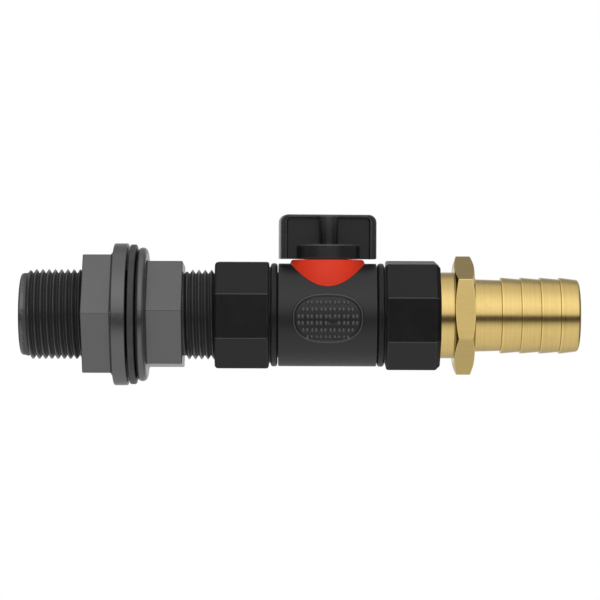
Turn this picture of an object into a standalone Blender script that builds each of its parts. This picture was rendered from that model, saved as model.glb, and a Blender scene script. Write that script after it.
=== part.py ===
"""Seacock: a through-hull fitting, a quarter-turn ball valve and a brass hose tail, as separate pieces.

Frame: metres, +Z up. X runs along the water way, from the outboard end (-X) to the hose end (+X). The origin
is on the water way's axis, in the face of the fixed flange that the hull is clamped against. The handle
stands on top of the valve, towards +Z.
"""

import math

import bmesh
import bpy
from mathutils import Matrix, Vector

MM = 0.001
GAP = 0.3 * MM  # clearance left between neighbours that touch
SEAL_GAP = 0.12 * MM  # clearance round an O-ring in its groove

SIDES = 24  # facets round a piece; a multiple of 6 and of 8, so that nuts and octagons have true corners
ORING_SIDES = 20
ORING_SECTION_SIDES = 6

# Pipe thread, 1 inch parallel
PITCH = 2.309 * MM
THREAD_CREST_R = 16.62 * MM
THREAD_DEPTH = 1.47 * MM
THREAD_ROOT_R = THREAD_CREST_R - THREAD_DEPTH
THREAD_CLEARANCE = 0.45 * MM  # radial, female over male
FEMALE_R = THREAD_CREST_R + THREAD_CLEARANCE
THREAD_RUNOUT = 0.9 * PITCH
THREAD_ENGAGED = 16.2 * MM  # male thread inside a socket of the valve

# Through-hull fitting
STUB_LENGTH = 43.0 * MM
STUB_LEAD = 1.8 * MM
FLANGE_R = THREAD_CREST_R + 8.13 * MM
FLANGE_THICK = 3.7 * MM
FLANGE_EDGE = 1.5 * MM
FITTING_HEX_FLATS = 2 * (THREAD_CREST_R + 2.28 * MM)
FITTING_HEX_LENGTH = 13.2 * MM
FITTING_HEX_CLOCK = math.radians(175.5)
FITTING_WALL = 2.95 * MM  # under the thread
FITTING_BORE_R = THREAD_ROOT_R - FITTING_WALL
EXPOSED_THREAD = 11.7 * MM  # bare thread between the fitting's hexagon and the valve

# Hull gasket and back nut, outboard of the flange
GASKET_R = FLANGE_R + 1.1 * MM
GASKET_THICK = 2.8 * MM
NUT_FLANGE_R = FLANGE_R + 1.5 * MM
NUT_FLANGE_THICK = 5.6 * MM
NUT_HEX_FLATS = 2 * (FEMALE_R + 4.58 * MM)
NUT_HEX_LENGTH = 10.6 * MM
NUT_HEX_CLOCK = math.radians(178.7)

# Ball and body
WATER_WAY_R = 10.0 * MM
BALL_WALL = 5.0 * MM
BODY_WALL = 3.4 * MM
BODY_HALF_LENGTH = 18.1 * MM
SEAT_LAND = 1.8 * MM
BALL_R = WATER_WAY_R + BALL_WALL
CAVITY_R = BALL_R + 2 * GAP
BODY_R = CAVITY_R + BODY_WALL

# Ends of the valve; "out" is the distance from the ball's centre
SOCKET_WALL = 2.48 * MM  # outside the socket's thread, at the flats
END_HALF_FLATS = FEMALE_R + SOCKET_WALL
END_EDGE = 1.2 * MM
END_SIDES = 8
VALVE_HALF_LENGTH = 41.4 * MM
COLLAR_RING_R = BODY_R + 0.1 * MM
COLLAR_RING_LENGTH = 2.5 * MM
COLLAR_RING_EDGE = 0.4 * MM
PARTING_GROOVE = 0.6 * MM
PARTING_GROOVE_R = BODY_R - 1.2 * MM
INLET_CLOCK = math.radians(22.5 + 1.2)
OUTLET_CLOCK = math.radians(22.5 + 5.0)
SPIGOT_STEP = 1.3 * MM  # how much wider the spigot's hole is than the ball's cavity
SPIGOT_R = CAVITY_R + SPIGOT_STEP - GAP
END_SEAL_STEP = 2.1 * MM
END_SEAL_LENGTH = 1.8 * MM
END_SEAL_SECTION_R = 0.72 * MM
SEAT_SEAL_SECTION_R = 1.0 * MM
SEAT_SEAL_INSET = 2.6 * MM  # from the cavity's wall in to the middle of the seat's O-ring
SEAT_SEAL_R = CAVITY_R - SEAT_SEAL_INSET
WASHER_THICK = 2.4 * MM

# Stem and its neck
NECK_BORE_R = 4.6 * MM
NECK_WALL = 3.1 * MM
NECK_R = NECK_BORE_R + NECK_WALL
STEM_R = NECK_BORE_R - GAP
STEM_SHOULDER = 1.1 * MM  # how far the stem's flange reaches past the neck's bore
STEM_FLANGE_R = NECK_BORE_R + STEM_SHOULDER
STEM_FLANGE_THICK = 1.3 * MM
THRUST_WASHER_THICK = 1.0 * MM
STEM_SEAL_SECTION_R = 0.7 * MM
TANG_THICK = 4.2 * MM
TANG_LENGTH = 2 * STEM_FLANGE_R - 1.8 * MM
TANG_DEPTH = 3.0 * MM
DRIVE_HALF_SIDE = 2.0 * MM
DRIVE_LENGTH = 7.9 * MM

# Handle
HANDLE_CLEAR = 1.65 * MM  # between the body and the underside of the handle's blade
SKIRT_HEIGHT = 5.35 * MM
SKIRT_WALL = 2.2 * MM
NECK_RISE = 3.3 * MM  # how far the neck stands up inside the skirt
BLADE_LENGTH = 35.6 * MM
BLADE_HEIGHT = 16.4 * MM
BLADE_THICK = 8.0 * MM
BLADE_CORNER = 2.9 * MM
PANEL_DEPTH = 1.6 * MM
PANEL_BORDER = 2.3 * MM
PANEL_TOP_BORDER = 1.1 * MM
RIB_WIDTH = 6.7 * MM
RIB_REACH = 8.0 * MM
RIB_DROP = 0.5 * MM  # the rib stops this far under the blade's top
HANDLE_REST = math.radians(6.0)  # the handle rests this far past the pipe's own line
HANDLE_TRAVEL = math.radians(96.0)
STOP_LUG = math.radians(24.0)  # width of each lug that stops the handle
STOP_CLEAR = math.radians(2.4)  # between the lugs when the handle is against a stop
STOP_REACH = 1.6 * MM
STOP_SIDE_CLEAR = 0.45 * MM  # between the neck's lugs and the skirt round them
SKIRT_R = NECK_R + STOP_REACH + STOP_SIDE_CLEAR + SKIRT_WALL
SCREW_HEAD_R = 2.3 * MM
SCREW_HEAD_HEIGHT = 1.8 * MM
SCREW_SHANK_R = 1.2 * MM
SCREW_DEPTH = 7.0 * MM
SCREW_SLOT = 0.7 * MM

# Red collar round the neck
COLLAR_TOP_R = SKIRT_R + 1.25 * MM
COLLAR_FLARE = 0.57  # how fast it widens at the top, and how much of that it loses in each metre of drop
COLLAR_FLARE_LOSS = 0.0275 / MM

# Brass hose tail
TAIL_NECK_R = THREAD_CREST_R - 0.72 * MM
TAIL_NECK_LENGTH = 5.1 * MM
TAIL_HEX_FLATS = 2 * (THREAD_CREST_R + 2.53 * MM)
TAIL_HEX_LENGTH = 7.3 * MM
TAIL_HEX_CLOCK = math.radians(143.0)
TAIL_BORE_R = 10.9 * MM
BARB_NECK_LENGTH = 10.1 * MM
BARB_NECK_R = 13.4 * MM
BARB_CREST_R = 14.05 * MM
BARB_VALLEY_R = 13.45 * MM
BARB_PITCH = 7.2 * MM
BARB_COUNT = 4
BARB_NOSE = 1.2 * MM
CHAMFER_SLOPE = math.tan(math.radians(20.0))

# Places worked out from the sizes
HEX_RIGHT_X = FLANGE_THICK + FITTING_HEX_LENGTH
VALVE_X = HEX_RIGHT_X + EXPOSED_THREAD + VALVE_HALF_LENGTH
VALVE_CENTRE = Vector((VALVE_X, 0.0, 0.0))
MALE_END_OUT = VALVE_HALF_LENGTH - THREAD_ENGAGED
SOCKET_FLOOR_OUT = MALE_END_OUT - WASHER_THICK - 2 * GAP
SEAT_BORE_R = WATER_WAY_R + 0.2 * MM
SEAT_FACE_R = BALL_R + GAP
SEAT_BACK_OUT = math.sqrt(SEAT_FACE_R**2 - SEAT_BORE_R**2) + SEAT_LAND
SPIGOT_END_OUT = SEAT_BACK_OUT + GAP
SEAL_POCKET_OUT = BODY_HALF_LENGTH - END_SEAL_LENGTH
COLLAR_RING_OUT = BODY_HALF_LENGTH + GAP
FLATS_OUT = COLLAR_RING_OUT + COLLAR_RING_LENGTH + PARTING_GROOVE
GASKET_X = -GAP - GASKET_THICK
NUT_RIGHT_X = GASKET_X - GAP
NUT_SHOULDER_X = NUT_RIGHT_X - NUT_FLANGE_THICK
NUT_LEFT_X = NUT_SHOULDER_X - NUT_HEX_LENGTH
HANDLE_Z = BODY_R + HANDLE_CLEAR
SKIRT_TOP_Z = HANDLE_Z + SKIRT_HEIGHT
BLADE_TOP_Z = HANDLE_Z + BLADE_HEIGHT
NECK_TOP_Z = HANDLE_Z + NECK_RISE
SKIRT_CEILING_Z = NECK_TOP_Z + 0.4 * MM
COLLAR_TOP_Z = HANDLE_Z - GAP
TANG_FOOT_Z = BALL_R - TANG_DEPTH + GAP
STEM_FLANGE_Z = CAVITY_R + 0.1 * MM
THRUST_WASHER_Z = STEM_FLANGE_Z + STEM_FLANGE_THICK + SEAL_GAP
NECK_POCKET_Z = THRUST_WASHER_Z + THRUST_WASHER_THICK + SEAL_GAP
DRIVE_TOP_Z = NECK_TOP_Z + DRIVE_LENGTH


def material(name, colour, roughness, metallic=0.0):
    """One Principled material."""
    made = bpy.data.materials.new(name)
    made.use_nodes = True
    shader = made.node_tree.nodes["Principled BSDF"]
    shader.inputs["Base Color"].default_value = (*colour, 1.0)
    shader.inputs["Roughness"].default_value = roughness
    shader.inputs["Metallic"].default_value = metallic
    return made


def clear_scene():
    """Removes whatever the file holds before modelling starts."""
    for old in list(bpy.data.objects):
        bpy.data.objects.remove(old)


# --- Turned pieces -------------------------------------------------------------------------------------


class Thread:
    """A right-hand V thread between two rings of a path.

    Its ridges lie on lines that climb one PITCH a turn, from the same start on every piece, so that a male
    and a female thread on one axis always mesh. rest_r is the plain radius that both ends run out to.
    """

    def __init__(self, low, high, clearance=0.0):
        self.low = low
        self.high = high
        self.root_r = THREAD_ROOT_R + clearance
        self.crest_r = THREAD_CREST_R + clearance
        self.rest_r = self.crest_r if clearance else self.root_r

    def radius(self, along, crest):
        """Radius of a ridge line's point, faded into rest_r near both ends."""
        fade = min(along - self.low, self.high - along) / THREAD_RUNOUT
        target = self.crest_r if crest else self.root_r
        return self.rest_r + (target - self.rest_r) * max(0.0, min(1.0, fade))


def round_at(along, radius):
    """A round ring."""
    return lambda angle: (along, radius)


def flats_at(along, half_flats, sides, clock):
    """A ring with flat sides, whose first corner is at the angle clock."""
    return lambda angle: (along, flats_radius(angle, half_flats, sides, clock))


def flats_radius(angle, half_flats, sides, clock):
    """Distance out to a flat, in the direction of an angle."""
    sector = math.tau / sides
    return half_flats / math.cos((angle - clock) % sector - sector / 2)


def chamfer_at(along, half_flats, sides, clock, direction):
    """The curve where a chamfer, starting from the circle inside the flats, meets the flats."""

    def place(angle):
        radius = flats_radius(angle, half_flats, sides, clock)
        return along + direction * (radius - half_flats) * CHAMFER_SLOPE, radius

    return place


def arc(centre, radius, size, start_deg, end_deg, steps=3):
    """Round rings along a quarter of a rounded edge, from one angle of its section to another."""
    rings = []
    for i in range(steps + 1):
        turn = math.radians(start_deg + (end_deg - start_deg) * i / steps)
        rings.append(round_at(centre + size * math.cos(turn), radius + size * math.sin(turn)))
    return rings


def point_x(along, radius, angle):
    return Vector((along, radius * math.cos(angle), radius * math.sin(angle)))


def point_z(along, radius, angle):
    return Vector((radius * math.cos(angle), radius * math.sin(angle), along))


class Loft:
    """A solid made of rings round an axis, each joined to the next."""

    def __init__(self, origin, point=point_x, clock=0.0, sides=SIDES):
        self.mesh = bmesh.new()
        self.origin = Vector(origin)
        self.point = point
        self.clock = clock
        self.sides = sides

    def angle(self, column):
        return self.clock + math.tau * column / self.sides

    def vertex(self, along, radius, column):
        return self.mesh.verts.new(self.point(along, radius, self.angle(column)) - self.origin)

    def ring(self, place):
        return [self.vertex(*place(self.angle(i)), i) for i in range(self.sides)]

    def face(self, corners):
        """A face through these corners, leaving out repeats."""
        kept = [v for i, v in enumerate(corners) if v is not corners[i - 1]]
        if len(kept) > 2:
            self.mesh.faces.new(kept)

    def band(self, first, second):
        for i in range(self.sides):
            j = (i + 1) % self.sides
            self.face([first[i], first[j], second[j], second[i]])

    def thread_band(self, first, second, thread):
        """Joins two rings by a thread. Ridge line k climbs a PITCH a turn; odd lines are crests."""
        low, high = (first, second) if thread.low_first else (second, first)
        snap = 0.12 * PITCH
        made = {}

        def on_line(column, k):
            if column == self.sides:
                return on_line(0, k + 2)
            along = PITCH * (k / 2 + self.angle(column) / math.tau)
            if along < thread.low + snap:
                return low[column]
            if along > thread.high - snap:
                return high[column]
            if (column, k) not in made:
                made[column, k] = self.vertex(along, thread.radius(along, k % 2), column)
            return made[column, k]

        turn_start = self.clock / math.tau
        lowest = math.floor(2 * (thread.low / PITCH - turn_start - 1)) - 2
        highest = math.ceil(2 * (thread.high / PITCH - turn_start)) + 2
        for k in range(lowest, highest):
            for i in range(self.sides):
                self.face([on_line(i, k), on_line(i + 1, k), on_line(i + 1, k + 1), on_line(i, k + 1)])

    def along_path(self, path, bored):
        """Joins the path's rings in order. A bored piece's last ring joins its first; another is capped."""
        steps = [step if isinstance(step, Thread) else self.ring(step) for step in path]
        rings = [step for step in steps if isinstance(step, list)]
        for before, step in enumerate(steps[1:]):
            if isinstance(step, Thread):
                first, second = steps[before], steps[before + 2]
                step.low_first = path[before](self.clock)[0] < path[before + 2](self.clock)[0]
                self.thread_band(first, second, step)
            elif not isinstance(steps[before], Thread):
                self.band(steps[before], step)
        if bored:
            self.band(rings[-1], rings[0])
        else:
            self.mesh.faces.new(rings[0])
            self.mesh.faces.new(rings[-1])
        return self

    def finish(self, name, finish, smooth_deg=30.0):
        bmesh.ops.recalc_face_normals(self.mesh, faces=self.mesh.faces)
        return new_object(name, self.mesh, finish, self.origin, smooth_deg)


def new_object(name, mesh, finish, location, smooth_deg=30.0):
    """Turns a bmesh into a named object with one material."""
    data = bpy.data.meshes.new(name)
    mesh.to_mesh(data)
    mesh.free()
    data.shade_smooth()
    data.set_sharp_from_angle(angle=math.radians(smooth_deg))
    made = bpy.data.objects.new(name, data)
    made.location = location
    if finish:
        data.materials.append(finish)
    bpy.context.scene.collection.objects.link(made)
    return made


# --- Blocks and Boolean steps --------------------------------------------------------------------------


def block(name, low, high, finish=None):
    """A box between two corners."""
    mesh = bmesh.new()
    bmesh.ops.create_cube(mesh, size=1.0)
    low, high = Vector(low), Vector(high)
    bmesh.ops.scale(mesh, vec=high - low, verts=mesh.verts)
    bmesh.ops.translate(mesh, vec=(high + low) / 2, verts=mesh.verts)
    return new_object(name, mesh, finish, (0.0, 0.0, 0.0))


def prism(name, outline, low, high, axis, finish=None):
    """An outline extruded along Y or Z. The outline is in the other two axes, in their own order."""

    def place(pair, along):
        return Vector((pair[0], along, pair[1])) if axis == "Y" else Vector((*pair, along))

    mesh = bmesh.new()
    base = mesh.faces.new([mesh.verts.new(place(pair, low)) for pair in outline])
    lifted = bmesh.ops.extrude_face_region(mesh, geom=[base])["geom"]
    moved = [v for v in lifted if isinstance(v, bmesh.types.BMVert)]
    bmesh.ops.translate(mesh, vec=place((0.0, 0.0), high - low), verts=moved)
    bmesh.ops.recalc_face_normals(mesh, faces=mesh.faces)
    return new_object(name, mesh, finish, (0.0, 0.0, 0.0))


def cylinder(name, radius, low, high, sides=SIDES):
    """An upright cylinder on the Z axis."""
    path = [round_at(low, radius), round_at(high, radius)]
    return Loft((0, 0, 0), point_z, sides=sides).along_path(path, False).finish(name, None)


def boolean(target, operation, *tools):
    """Adds Boolean modifiers, and hides the shapes that they use."""
    for tool in tools:
        step = target.modifiers.new(f"{operation.lower()} {tool.name}", "BOOLEAN")
        step.operation = operation
        step.solver = "EXACT"
        step.object = tool
        tool.hide_render = True
        tool.display_type = "WIRE"


def sector(inner, outer, centre, width, steps=4):
    """Outline of part of a ring, in the XY plane."""
    turns = [centre - width / 2 + width * i / steps for i in range(steps + 1)]
    far = [(outer * math.cos(t), outer * math.sin(t)) for t in turns]
    near = [(inner * math.cos(t), inner * math.sin(t)) for t in reversed(turns)]
    return far + near


def place_on(pieces, place):
    """Parents pieces modelled round their own Z axis to an empty, and so puts them in the assembly."""
    for piece in pieces:
        piece.parent = place


def empty(name, location, turn=0.0):
    made = bpy.data.objects.new(name, None)
    made.location = location
    made.rotation_euler = (0.0, 0.0, turn)
    bpy.context.scene.collection.objects.link(made)
    return made


# --- Through-hull group --------------------------------------------------------------------------------


def through_hull_fitting(finish):
    """Threaded tube with a fixed flange and a hexagon, all moulded in one."""
    half = FITTING_HEX_FLATS / 2
    clock = FITTING_HEX_CLOCK
    right_end = VALVE_X - MALE_END_OUT
    edge = 0.5 * MM
    bevel = 0.6 * MM
    path = [
        round_at(-STUB_LENGTH, THREAD_ROOT_R - bevel),
        round_at(-STUB_LENGTH + bevel, THREAD_ROOT_R),
        round_at(-STUB_LENGTH + STUB_LEAD, THREAD_ROOT_R),
        Thread(-STUB_LENGTH + STUB_LEAD, -GAP),
        round_at(-GAP, THREAD_ROOT_R),
        round_at(0.0, THREAD_ROOT_R),
        *arc(FLANGE_EDGE, FLANGE_R - FLANGE_EDGE, FLANGE_EDGE, 180, 90),
        *arc(FLANGE_THICK - FLANGE_EDGE, FLANGE_R - FLANGE_EDGE, FLANGE_EDGE, 90, 0),
        flats_at(FLANGE_THICK, half, 6, clock),
        flats_at(HEX_RIGHT_X - edge, half, 6, clock),
        flats_at(HEX_RIGHT_X, half - edge, 6, clock),
        round_at(HEX_RIGHT_X, THREAD_ROOT_R),
        Thread(HEX_RIGHT_X, right_end - bevel),
        round_at(right_end - bevel, THREAD_ROOT_R),
        round_at(right_end, THREAD_ROOT_R - bevel),
        round_at(right_end, FITTING_BORE_R),
        round_at(-STUB_LENGTH, FITTING_BORE_R),
    ]
    return Loft((0, 0, 0), clock=clock).along_path(path, True).finish("through_hull_fitting", finish)


def hull_gasket(finish):
    edge = 0.4 * MM
    inner = FEMALE_R
    path = [
        round_at(GASKET_X, inner),
        round_at(GASKET_X, GASKET_R - edge),
        round_at(GASKET_X + edge, GASKET_R),
        round_at(-GAP - edge, GASKET_R),
        round_at(-GAP, GASKET_R - edge),
        round_at(-GAP, inner),
    ]
    return Loft((GASKET_X, 0, 0)).along_path(path, True).finish("hull_gasket", finish)


def back_nut(finish):
    """Hexagon nut with a wide face, on the outboard thread."""
    half = NUT_HEX_FLATS / 2
    clock = NUT_HEX_CLOCK
    edge = 0.3 * MM
    path = [
        flats_at(NUT_LEFT_X, half - edge, 6, clock),
        flats_at(NUT_LEFT_X + edge, half, 6, clock),
        flats_at(NUT_SHOULDER_X, half, 6, clock),
        round_at(NUT_SHOULDER_X, NUT_FLANGE_R - edge),
        round_at(NUT_SHOULDER_X + edge, NUT_FLANGE_R),
        round_at(NUT_RIGHT_X - edge, NUT_FLANGE_R),
        round_at(NUT_RIGHT_X, NUT_FLANGE_R - edge),
        round_at(NUT_RIGHT_X, FEMALE_R),
        Thread(NUT_LEFT_X, NUT_RIGHT_X, THREAD_CLEARANCE),
        round_at(NUT_LEFT_X, FEMALE_R),
    ]
    return Loft((NUT_LEFT_X, 0, 0), clock=clock).along_path(path, True).finish("back_nut", finish)


# --- Valve body and its ends ---------------------------------------------------------------------------


def valve_body(finish):
    """Barrel with an upright neck. The ball's cavity opens at both ends, wider for the end pieces."""
    body_sides = 2 * SIDES
    barrel = [round_at(-BODY_HALF_LENGTH, BODY_R), round_at(BODY_HALF_LENGTH, BODY_R)]
    body = Loft((0, 0, 0), sides=body_sides).along_path(barrel, False).finish("valve_body", finish)

    neck = cylinder("neck", NECK_R, 0.0, NECK_TOP_Z)
    lugs = []
    for end in (-1, 1):
        turn = lug_turn() + end * (HANDLE_TRAVEL / 2 + STOP_LUG + STOP_CLEAR)
        outline = sector(NECK_R - 1.0 * MM, NECK_R + STOP_REACH, turn, STOP_LUG)
        lugs.append(prism(f"stop_lug_{end}", outline, HANDLE_Z + GAP, NECK_TOP_Z - GAP, "Z"))

    wide_r = CAVITY_R + SPIGOT_STEP
    seal_r = CAVITY_R + END_SEAL_STEP
    past = BODY_HALF_LENGTH + 1.0 * MM
    half = [
        round_at(past, seal_r),
        round_at(SEAL_POCKET_OUT, seal_r),
        round_at(SEAL_POCKET_OUT, wide_r),
        round_at(SPIGOT_END_OUT - GAP, wide_r),
        round_at(SPIGOT_END_OUT - GAP, CAVITY_R),
    ]
    cavity_path = [mirrored(place) for place in half] + half[::-1]
    cavity = Loft((0, 0, 0), sides=body_sides).along_path(cavity_path, False).finish("cavity", None)
    pocket = cylinder("stem_pocket", STEM_FLANGE_R + GAP, 0.0, NECK_POCKET_Z)
    bore = cylinder("stem_bore", NECK_BORE_R, 0.0, NECK_TOP_Z + 1.0 * MM)

    boolean(body, "UNION", neck, *lugs)
    boolean(body, "DIFFERENCE", cavity, pocket, bore)
    place_on([body, neck, *lugs, cavity, pocket, bore], empty("valve_centre", VALVE_CENTRE))
    return body


def mirrored(place):
    """The same ring on the other side of the ball's centre."""

    def other(angle):
        along, radius = place(angle)
        return -along, radius

    return other


def lug_turn():
    """Middle of the handle lug's sweep: half its travel back from where it rests."""
    return HANDLE_REST - HANDLE_TRAVEL / 2 + math.pi / 2


def end_piece(name, side, clock, finish):
    """Octagonal end with a threaded socket. side is -1 at the inlet and 1 at the outlet."""

    def at(out, radius):
        return round_at(VALVE_X + side * out, radius)

    def flats(out, half):
        return flats_at(VALVE_X + side * out, half, END_SIDES, clock)

    ring_right = COLLAR_RING_OUT + COLLAR_RING_LENGTH
    seal_groove_r = CAVITY_R + SEAL_GAP
    pocket_low = SEAT_SEAL_R - SEAT_SEAL_SECTION_R - SEAL_GAP
    pocket_high = SEAT_SEAL_R + SEAT_SEAL_SECTION_R + SEAL_GAP
    pocket_out = SPIGOT_END_OUT + 2 * SEAT_SEAL_SECTION_R
    mouth = THREAD_CREST_R + 2 * THREAD_CLEARANCE
    thread_inner = VALVE_X + side * (SOCKET_FLOOR_OUT + WASHER_THICK)
    thread_outer = VALVE_X + side * (VALVE_HALF_LENGTH - GAP)
    socket = sorted([thread_inner, thread_outer])
    path = [
        at(SPIGOT_END_OUT, SPIGOT_R - GAP),
        at(SPIGOT_END_OUT + GAP, SPIGOT_R),
        at(SEAL_POCKET_OUT - GAP, SPIGOT_R),
        at(SEAL_POCKET_OUT - GAP, seal_groove_r),
        at(COLLAR_RING_OUT, seal_groove_r),
        at(COLLAR_RING_OUT, COLLAR_RING_R - COLLAR_RING_EDGE),
        at(COLLAR_RING_OUT + COLLAR_RING_EDGE, COLLAR_RING_R),
        at(ring_right - COLLAR_RING_EDGE, COLLAR_RING_R),
        at(ring_right, COLLAR_RING_R - COLLAR_RING_EDGE),
        at(ring_right, PARTING_GROOVE_R),
        at(FLATS_OUT, PARTING_GROOVE_R),
        flats(FLATS_OUT, END_HALF_FLATS - END_EDGE / 2),
        flats(FLATS_OUT + END_EDGE / 2, END_HALF_FLATS),
        flats(VALVE_HALF_LENGTH - END_EDGE, END_HALF_FLATS),
        flats(VALVE_HALF_LENGTH - END_EDGE / 4, END_HALF_FLATS - END_EDGE / 3),
        flats(VALVE_HALF_LENGTH, END_HALF_FLATS - END_EDGE),
        at(VALVE_HALF_LENGTH, mouth),
        at(VALVE_HALF_LENGTH - GAP, FEMALE_R),
        Thread(*socket, THREAD_CLEARANCE),
        at(SOCKET_FLOOR_OUT + WASHER_THICK, FEMALE_R),
        at(SOCKET_FLOOR_OUT, FEMALE_R),
        at(SOCKET_FLOOR_OUT, SEAT_BORE_R),
        at(SPIGOT_END_OUT, SEAT_BORE_R),
        at(SPIGOT_END_OUT, pocket_low),
        at(pocket_out, pocket_low),
        at(pocket_out, pocket_high),
        at(SPIGOT_END_OUT, pocket_high),
    ]
    origin = (VALVE_X + side * FLATS_OUT, 0, 0)
    return Loft(origin, clock=clock).along_path(path, True).finish(name, finish)


def seat(name, side, finish):
    """Ring whose hollow face follows the ball."""
    outer = CAVITY_R - GAP
    widest = outer - 1.7 * MM
    path = []
    face_steps = 4
    for i in range(face_steps + 1):
        radius = SEAT_BORE_R + (widest - SEAT_BORE_R) * i / face_steps
        path.append(round_at(VALVE_X + side * math.sqrt(SEAT_FACE_R**2 - radius**2), radius))
    front = math.sqrt(SEAT_FACE_R**2 - widest**2)
    path += [
        round_at(VALVE_X + side * front, outer),
        round_at(VALVE_X + side * SEAT_BACK_OUT, outer),
        round_at(VALVE_X + side * SEAT_BACK_OUT, SEAT_BORE_R),
    ]
    return Loft((VALVE_X + side * SEAT_BACK_OUT, 0, 0)).along_path(path, True).finish(name, finish)


def oring(name, centre, radius, section_r, finish, point=point_x):
    """An O-ring round the X or Z axis. centre is its place along that axis."""
    path = []
    for i in range(ORING_SECTION_SIDES):
        turn = math.tau * i / ORING_SECTION_SIDES
        path.append(round_at(centre + section_r * math.cos(turn), radius + section_r * math.sin(turn)))
    origin = point(centre, 0.0, 0.0)
    return Loft(origin, point, sides=ORING_SIDES).along_path(path, True).finish(name, finish, 80.0)


def socket_washer(name, side, finish):
    """Flat washer on the floor of a socket, which the male thread's end is tightened against."""
    near = VALVE_X + side * (SOCKET_FLOOR_OUT + GAP)
    far = VALVE_X + side * (SOCKET_FLOOR_OUT + GAP + WASHER_THICK)
    inner = FITTING_BORE_R + GAP
    outer = THREAD_ROOT_R
    path = [round_at(near, inner), round_at(near, outer), round_at(far, outer), round_at(far, inner)]
    return Loft((near, 0, 0)).along_path(path, True).finish(name, finish)


# --- Ball, stem, collar and handle, each round the stem's own axis -------------------------------------


def ball(finish, place):
    """Bored ball with a slot across its top for the stem's tang."""
    mouth = math.sqrt(BALL_R**2 - WATER_WAY_R**2)
    path = []
    widest = math.asin(mouth / BALL_R)
    steps = 8
    for i in range(steps + 1):
        turn = -widest + 2 * widest * i / steps
        path.append(round_at(BALL_R * math.sin(turn), BALL_R * math.cos(turn)))
    shape = Loft((0, 0, 0)).along_path(path, True).finish("ball", finish)
    slot = block(
        "tang_slot",
        (-TANG_THICK / 2 - GAP, -TANG_LENGTH / 2 - GAP, BALL_R - TANG_DEPTH),
        (TANG_THICK / 2 + GAP, TANG_LENGTH / 2 + GAP, BALL_R + 1.0 * MM),
    )
    boolean(shape, "DIFFERENCE", slot)
    place_on([shape, slot], place)
    return shape


def stem_groove_places():
    """Heights of the two O-rings, a third and two thirds of the way up the neck's bore."""
    rise = NECK_TOP_Z - NECK_POCKET_Z
    return NECK_POCKET_Z + 0.29 * rise, NECK_POCKET_Z + 0.71 * rise


def stem_groove_r():
    return STEM_R - 1.35 * MM


def stem(finish, place):
    """Tang, thrust flange, shaft with two O-ring grooves, and a square drive with a screw hole."""
    half_groove = STEM_SEAL_SECTION_R + SEAL_GAP
    path = [
        round_at(STEM_FLANGE_Z, STEM_FLANGE_R),
        round_at(STEM_FLANGE_Z + STEM_FLANGE_THICK, STEM_FLANGE_R),
        round_at(STEM_FLANGE_Z + STEM_FLANGE_THICK, STEM_R),
    ]
    for middle in stem_groove_places():
        path += [
            round_at(middle - half_groove, STEM_R),
            round_at(middle - half_groove, stem_groove_r()),
            round_at(middle + half_groove, stem_groove_r()),
            round_at(middle + half_groove, STEM_R),
        ]
    drive_clock = math.pi / 4
    path += [
        round_at(NECK_TOP_Z, STEM_R),
        flats_at(NECK_TOP_Z, DRIVE_HALF_SIDE, 4, drive_clock),
        flats_at(DRIVE_TOP_Z, DRIVE_HALF_SIDE, 4, drive_clock),
    ]
    shape = Loft((0, 0, 0), point_z, clock=drive_clock).along_path(path, False).finish("stem", finish)
    tang = block(
        "tang",
        (-TANG_THICK / 2, -TANG_LENGTH / 2, TANG_FOOT_Z),
        (TANG_THICK / 2, TANG_LENGTH / 2, STEM_FLANGE_Z + STEM_FLANGE_THICK / 2),
    )
    hole_floor = DRIVE_TOP_Z - SCREW_DEPTH - GAP
    hole = cylinder("screw_hole", SCREW_SHANK_R + GAP, hole_floor, DRIVE_TOP_Z + 1.0 * MM, 12)
    boolean(shape, "UNION", tang)
    boolean(shape, "DIFFERENCE", hole)
    place_on([shape, tang, hole], place)
    return shape


def thrust_washer(finish, place):
    inner = STEM_R + SEAL_GAP
    path = [
        round_at(THRUST_WASHER_Z, inner),
        round_at(THRUST_WASHER_Z, STEM_FLANGE_R),
        round_at(THRUST_WASHER_Z + THRUST_WASHER_THICK, STEM_FLANGE_R),
        round_at(THRUST_WASHER_Z + THRUST_WASHER_THICK, inner),
    ]
    shape = Loft((0, 0, 0), point_z).along_path(path, True).finish("stem_thrust_washer", finish)
    place_on([shape], place)


def stem_orings(finish, place):
    middle_r = stem_groove_r() + SEAL_GAP + STEM_SEAL_SECTION_R
    for name, height in zip(("stem_oring_lower", "stem_oring_upper"), stem_groove_places(), strict=True):
        shape = oring(name, height, middle_r, STEM_SEAL_SECTION_R, finish, point_z)
        place_on([shape], place)


def saddle_height(radius, angle):
    """Height of the body's top, with its clearance, under a point of the collar."""
    return math.sqrt((BODY_R + GAP) ** 2 - (radius * math.sin(angle)) ** 2)


def collar_radius(height):
    """Radius of the collar's flared side, which widens downwards less and less."""
    drop = COLLAR_TOP_Z - height
    return COLLAR_TOP_R + COLLAR_FLARE * drop - COLLAR_FLARE_LOSS * drop**2


def collar_foot(angle):
    """Where the collar's side meets the body, found by a few rounds of substitution."""
    height = BODY_R
    for _ in range(30):
        height = (height + saddle_height(collar_radius(height), angle)) / 2
    return height, collar_radius(height)


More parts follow.
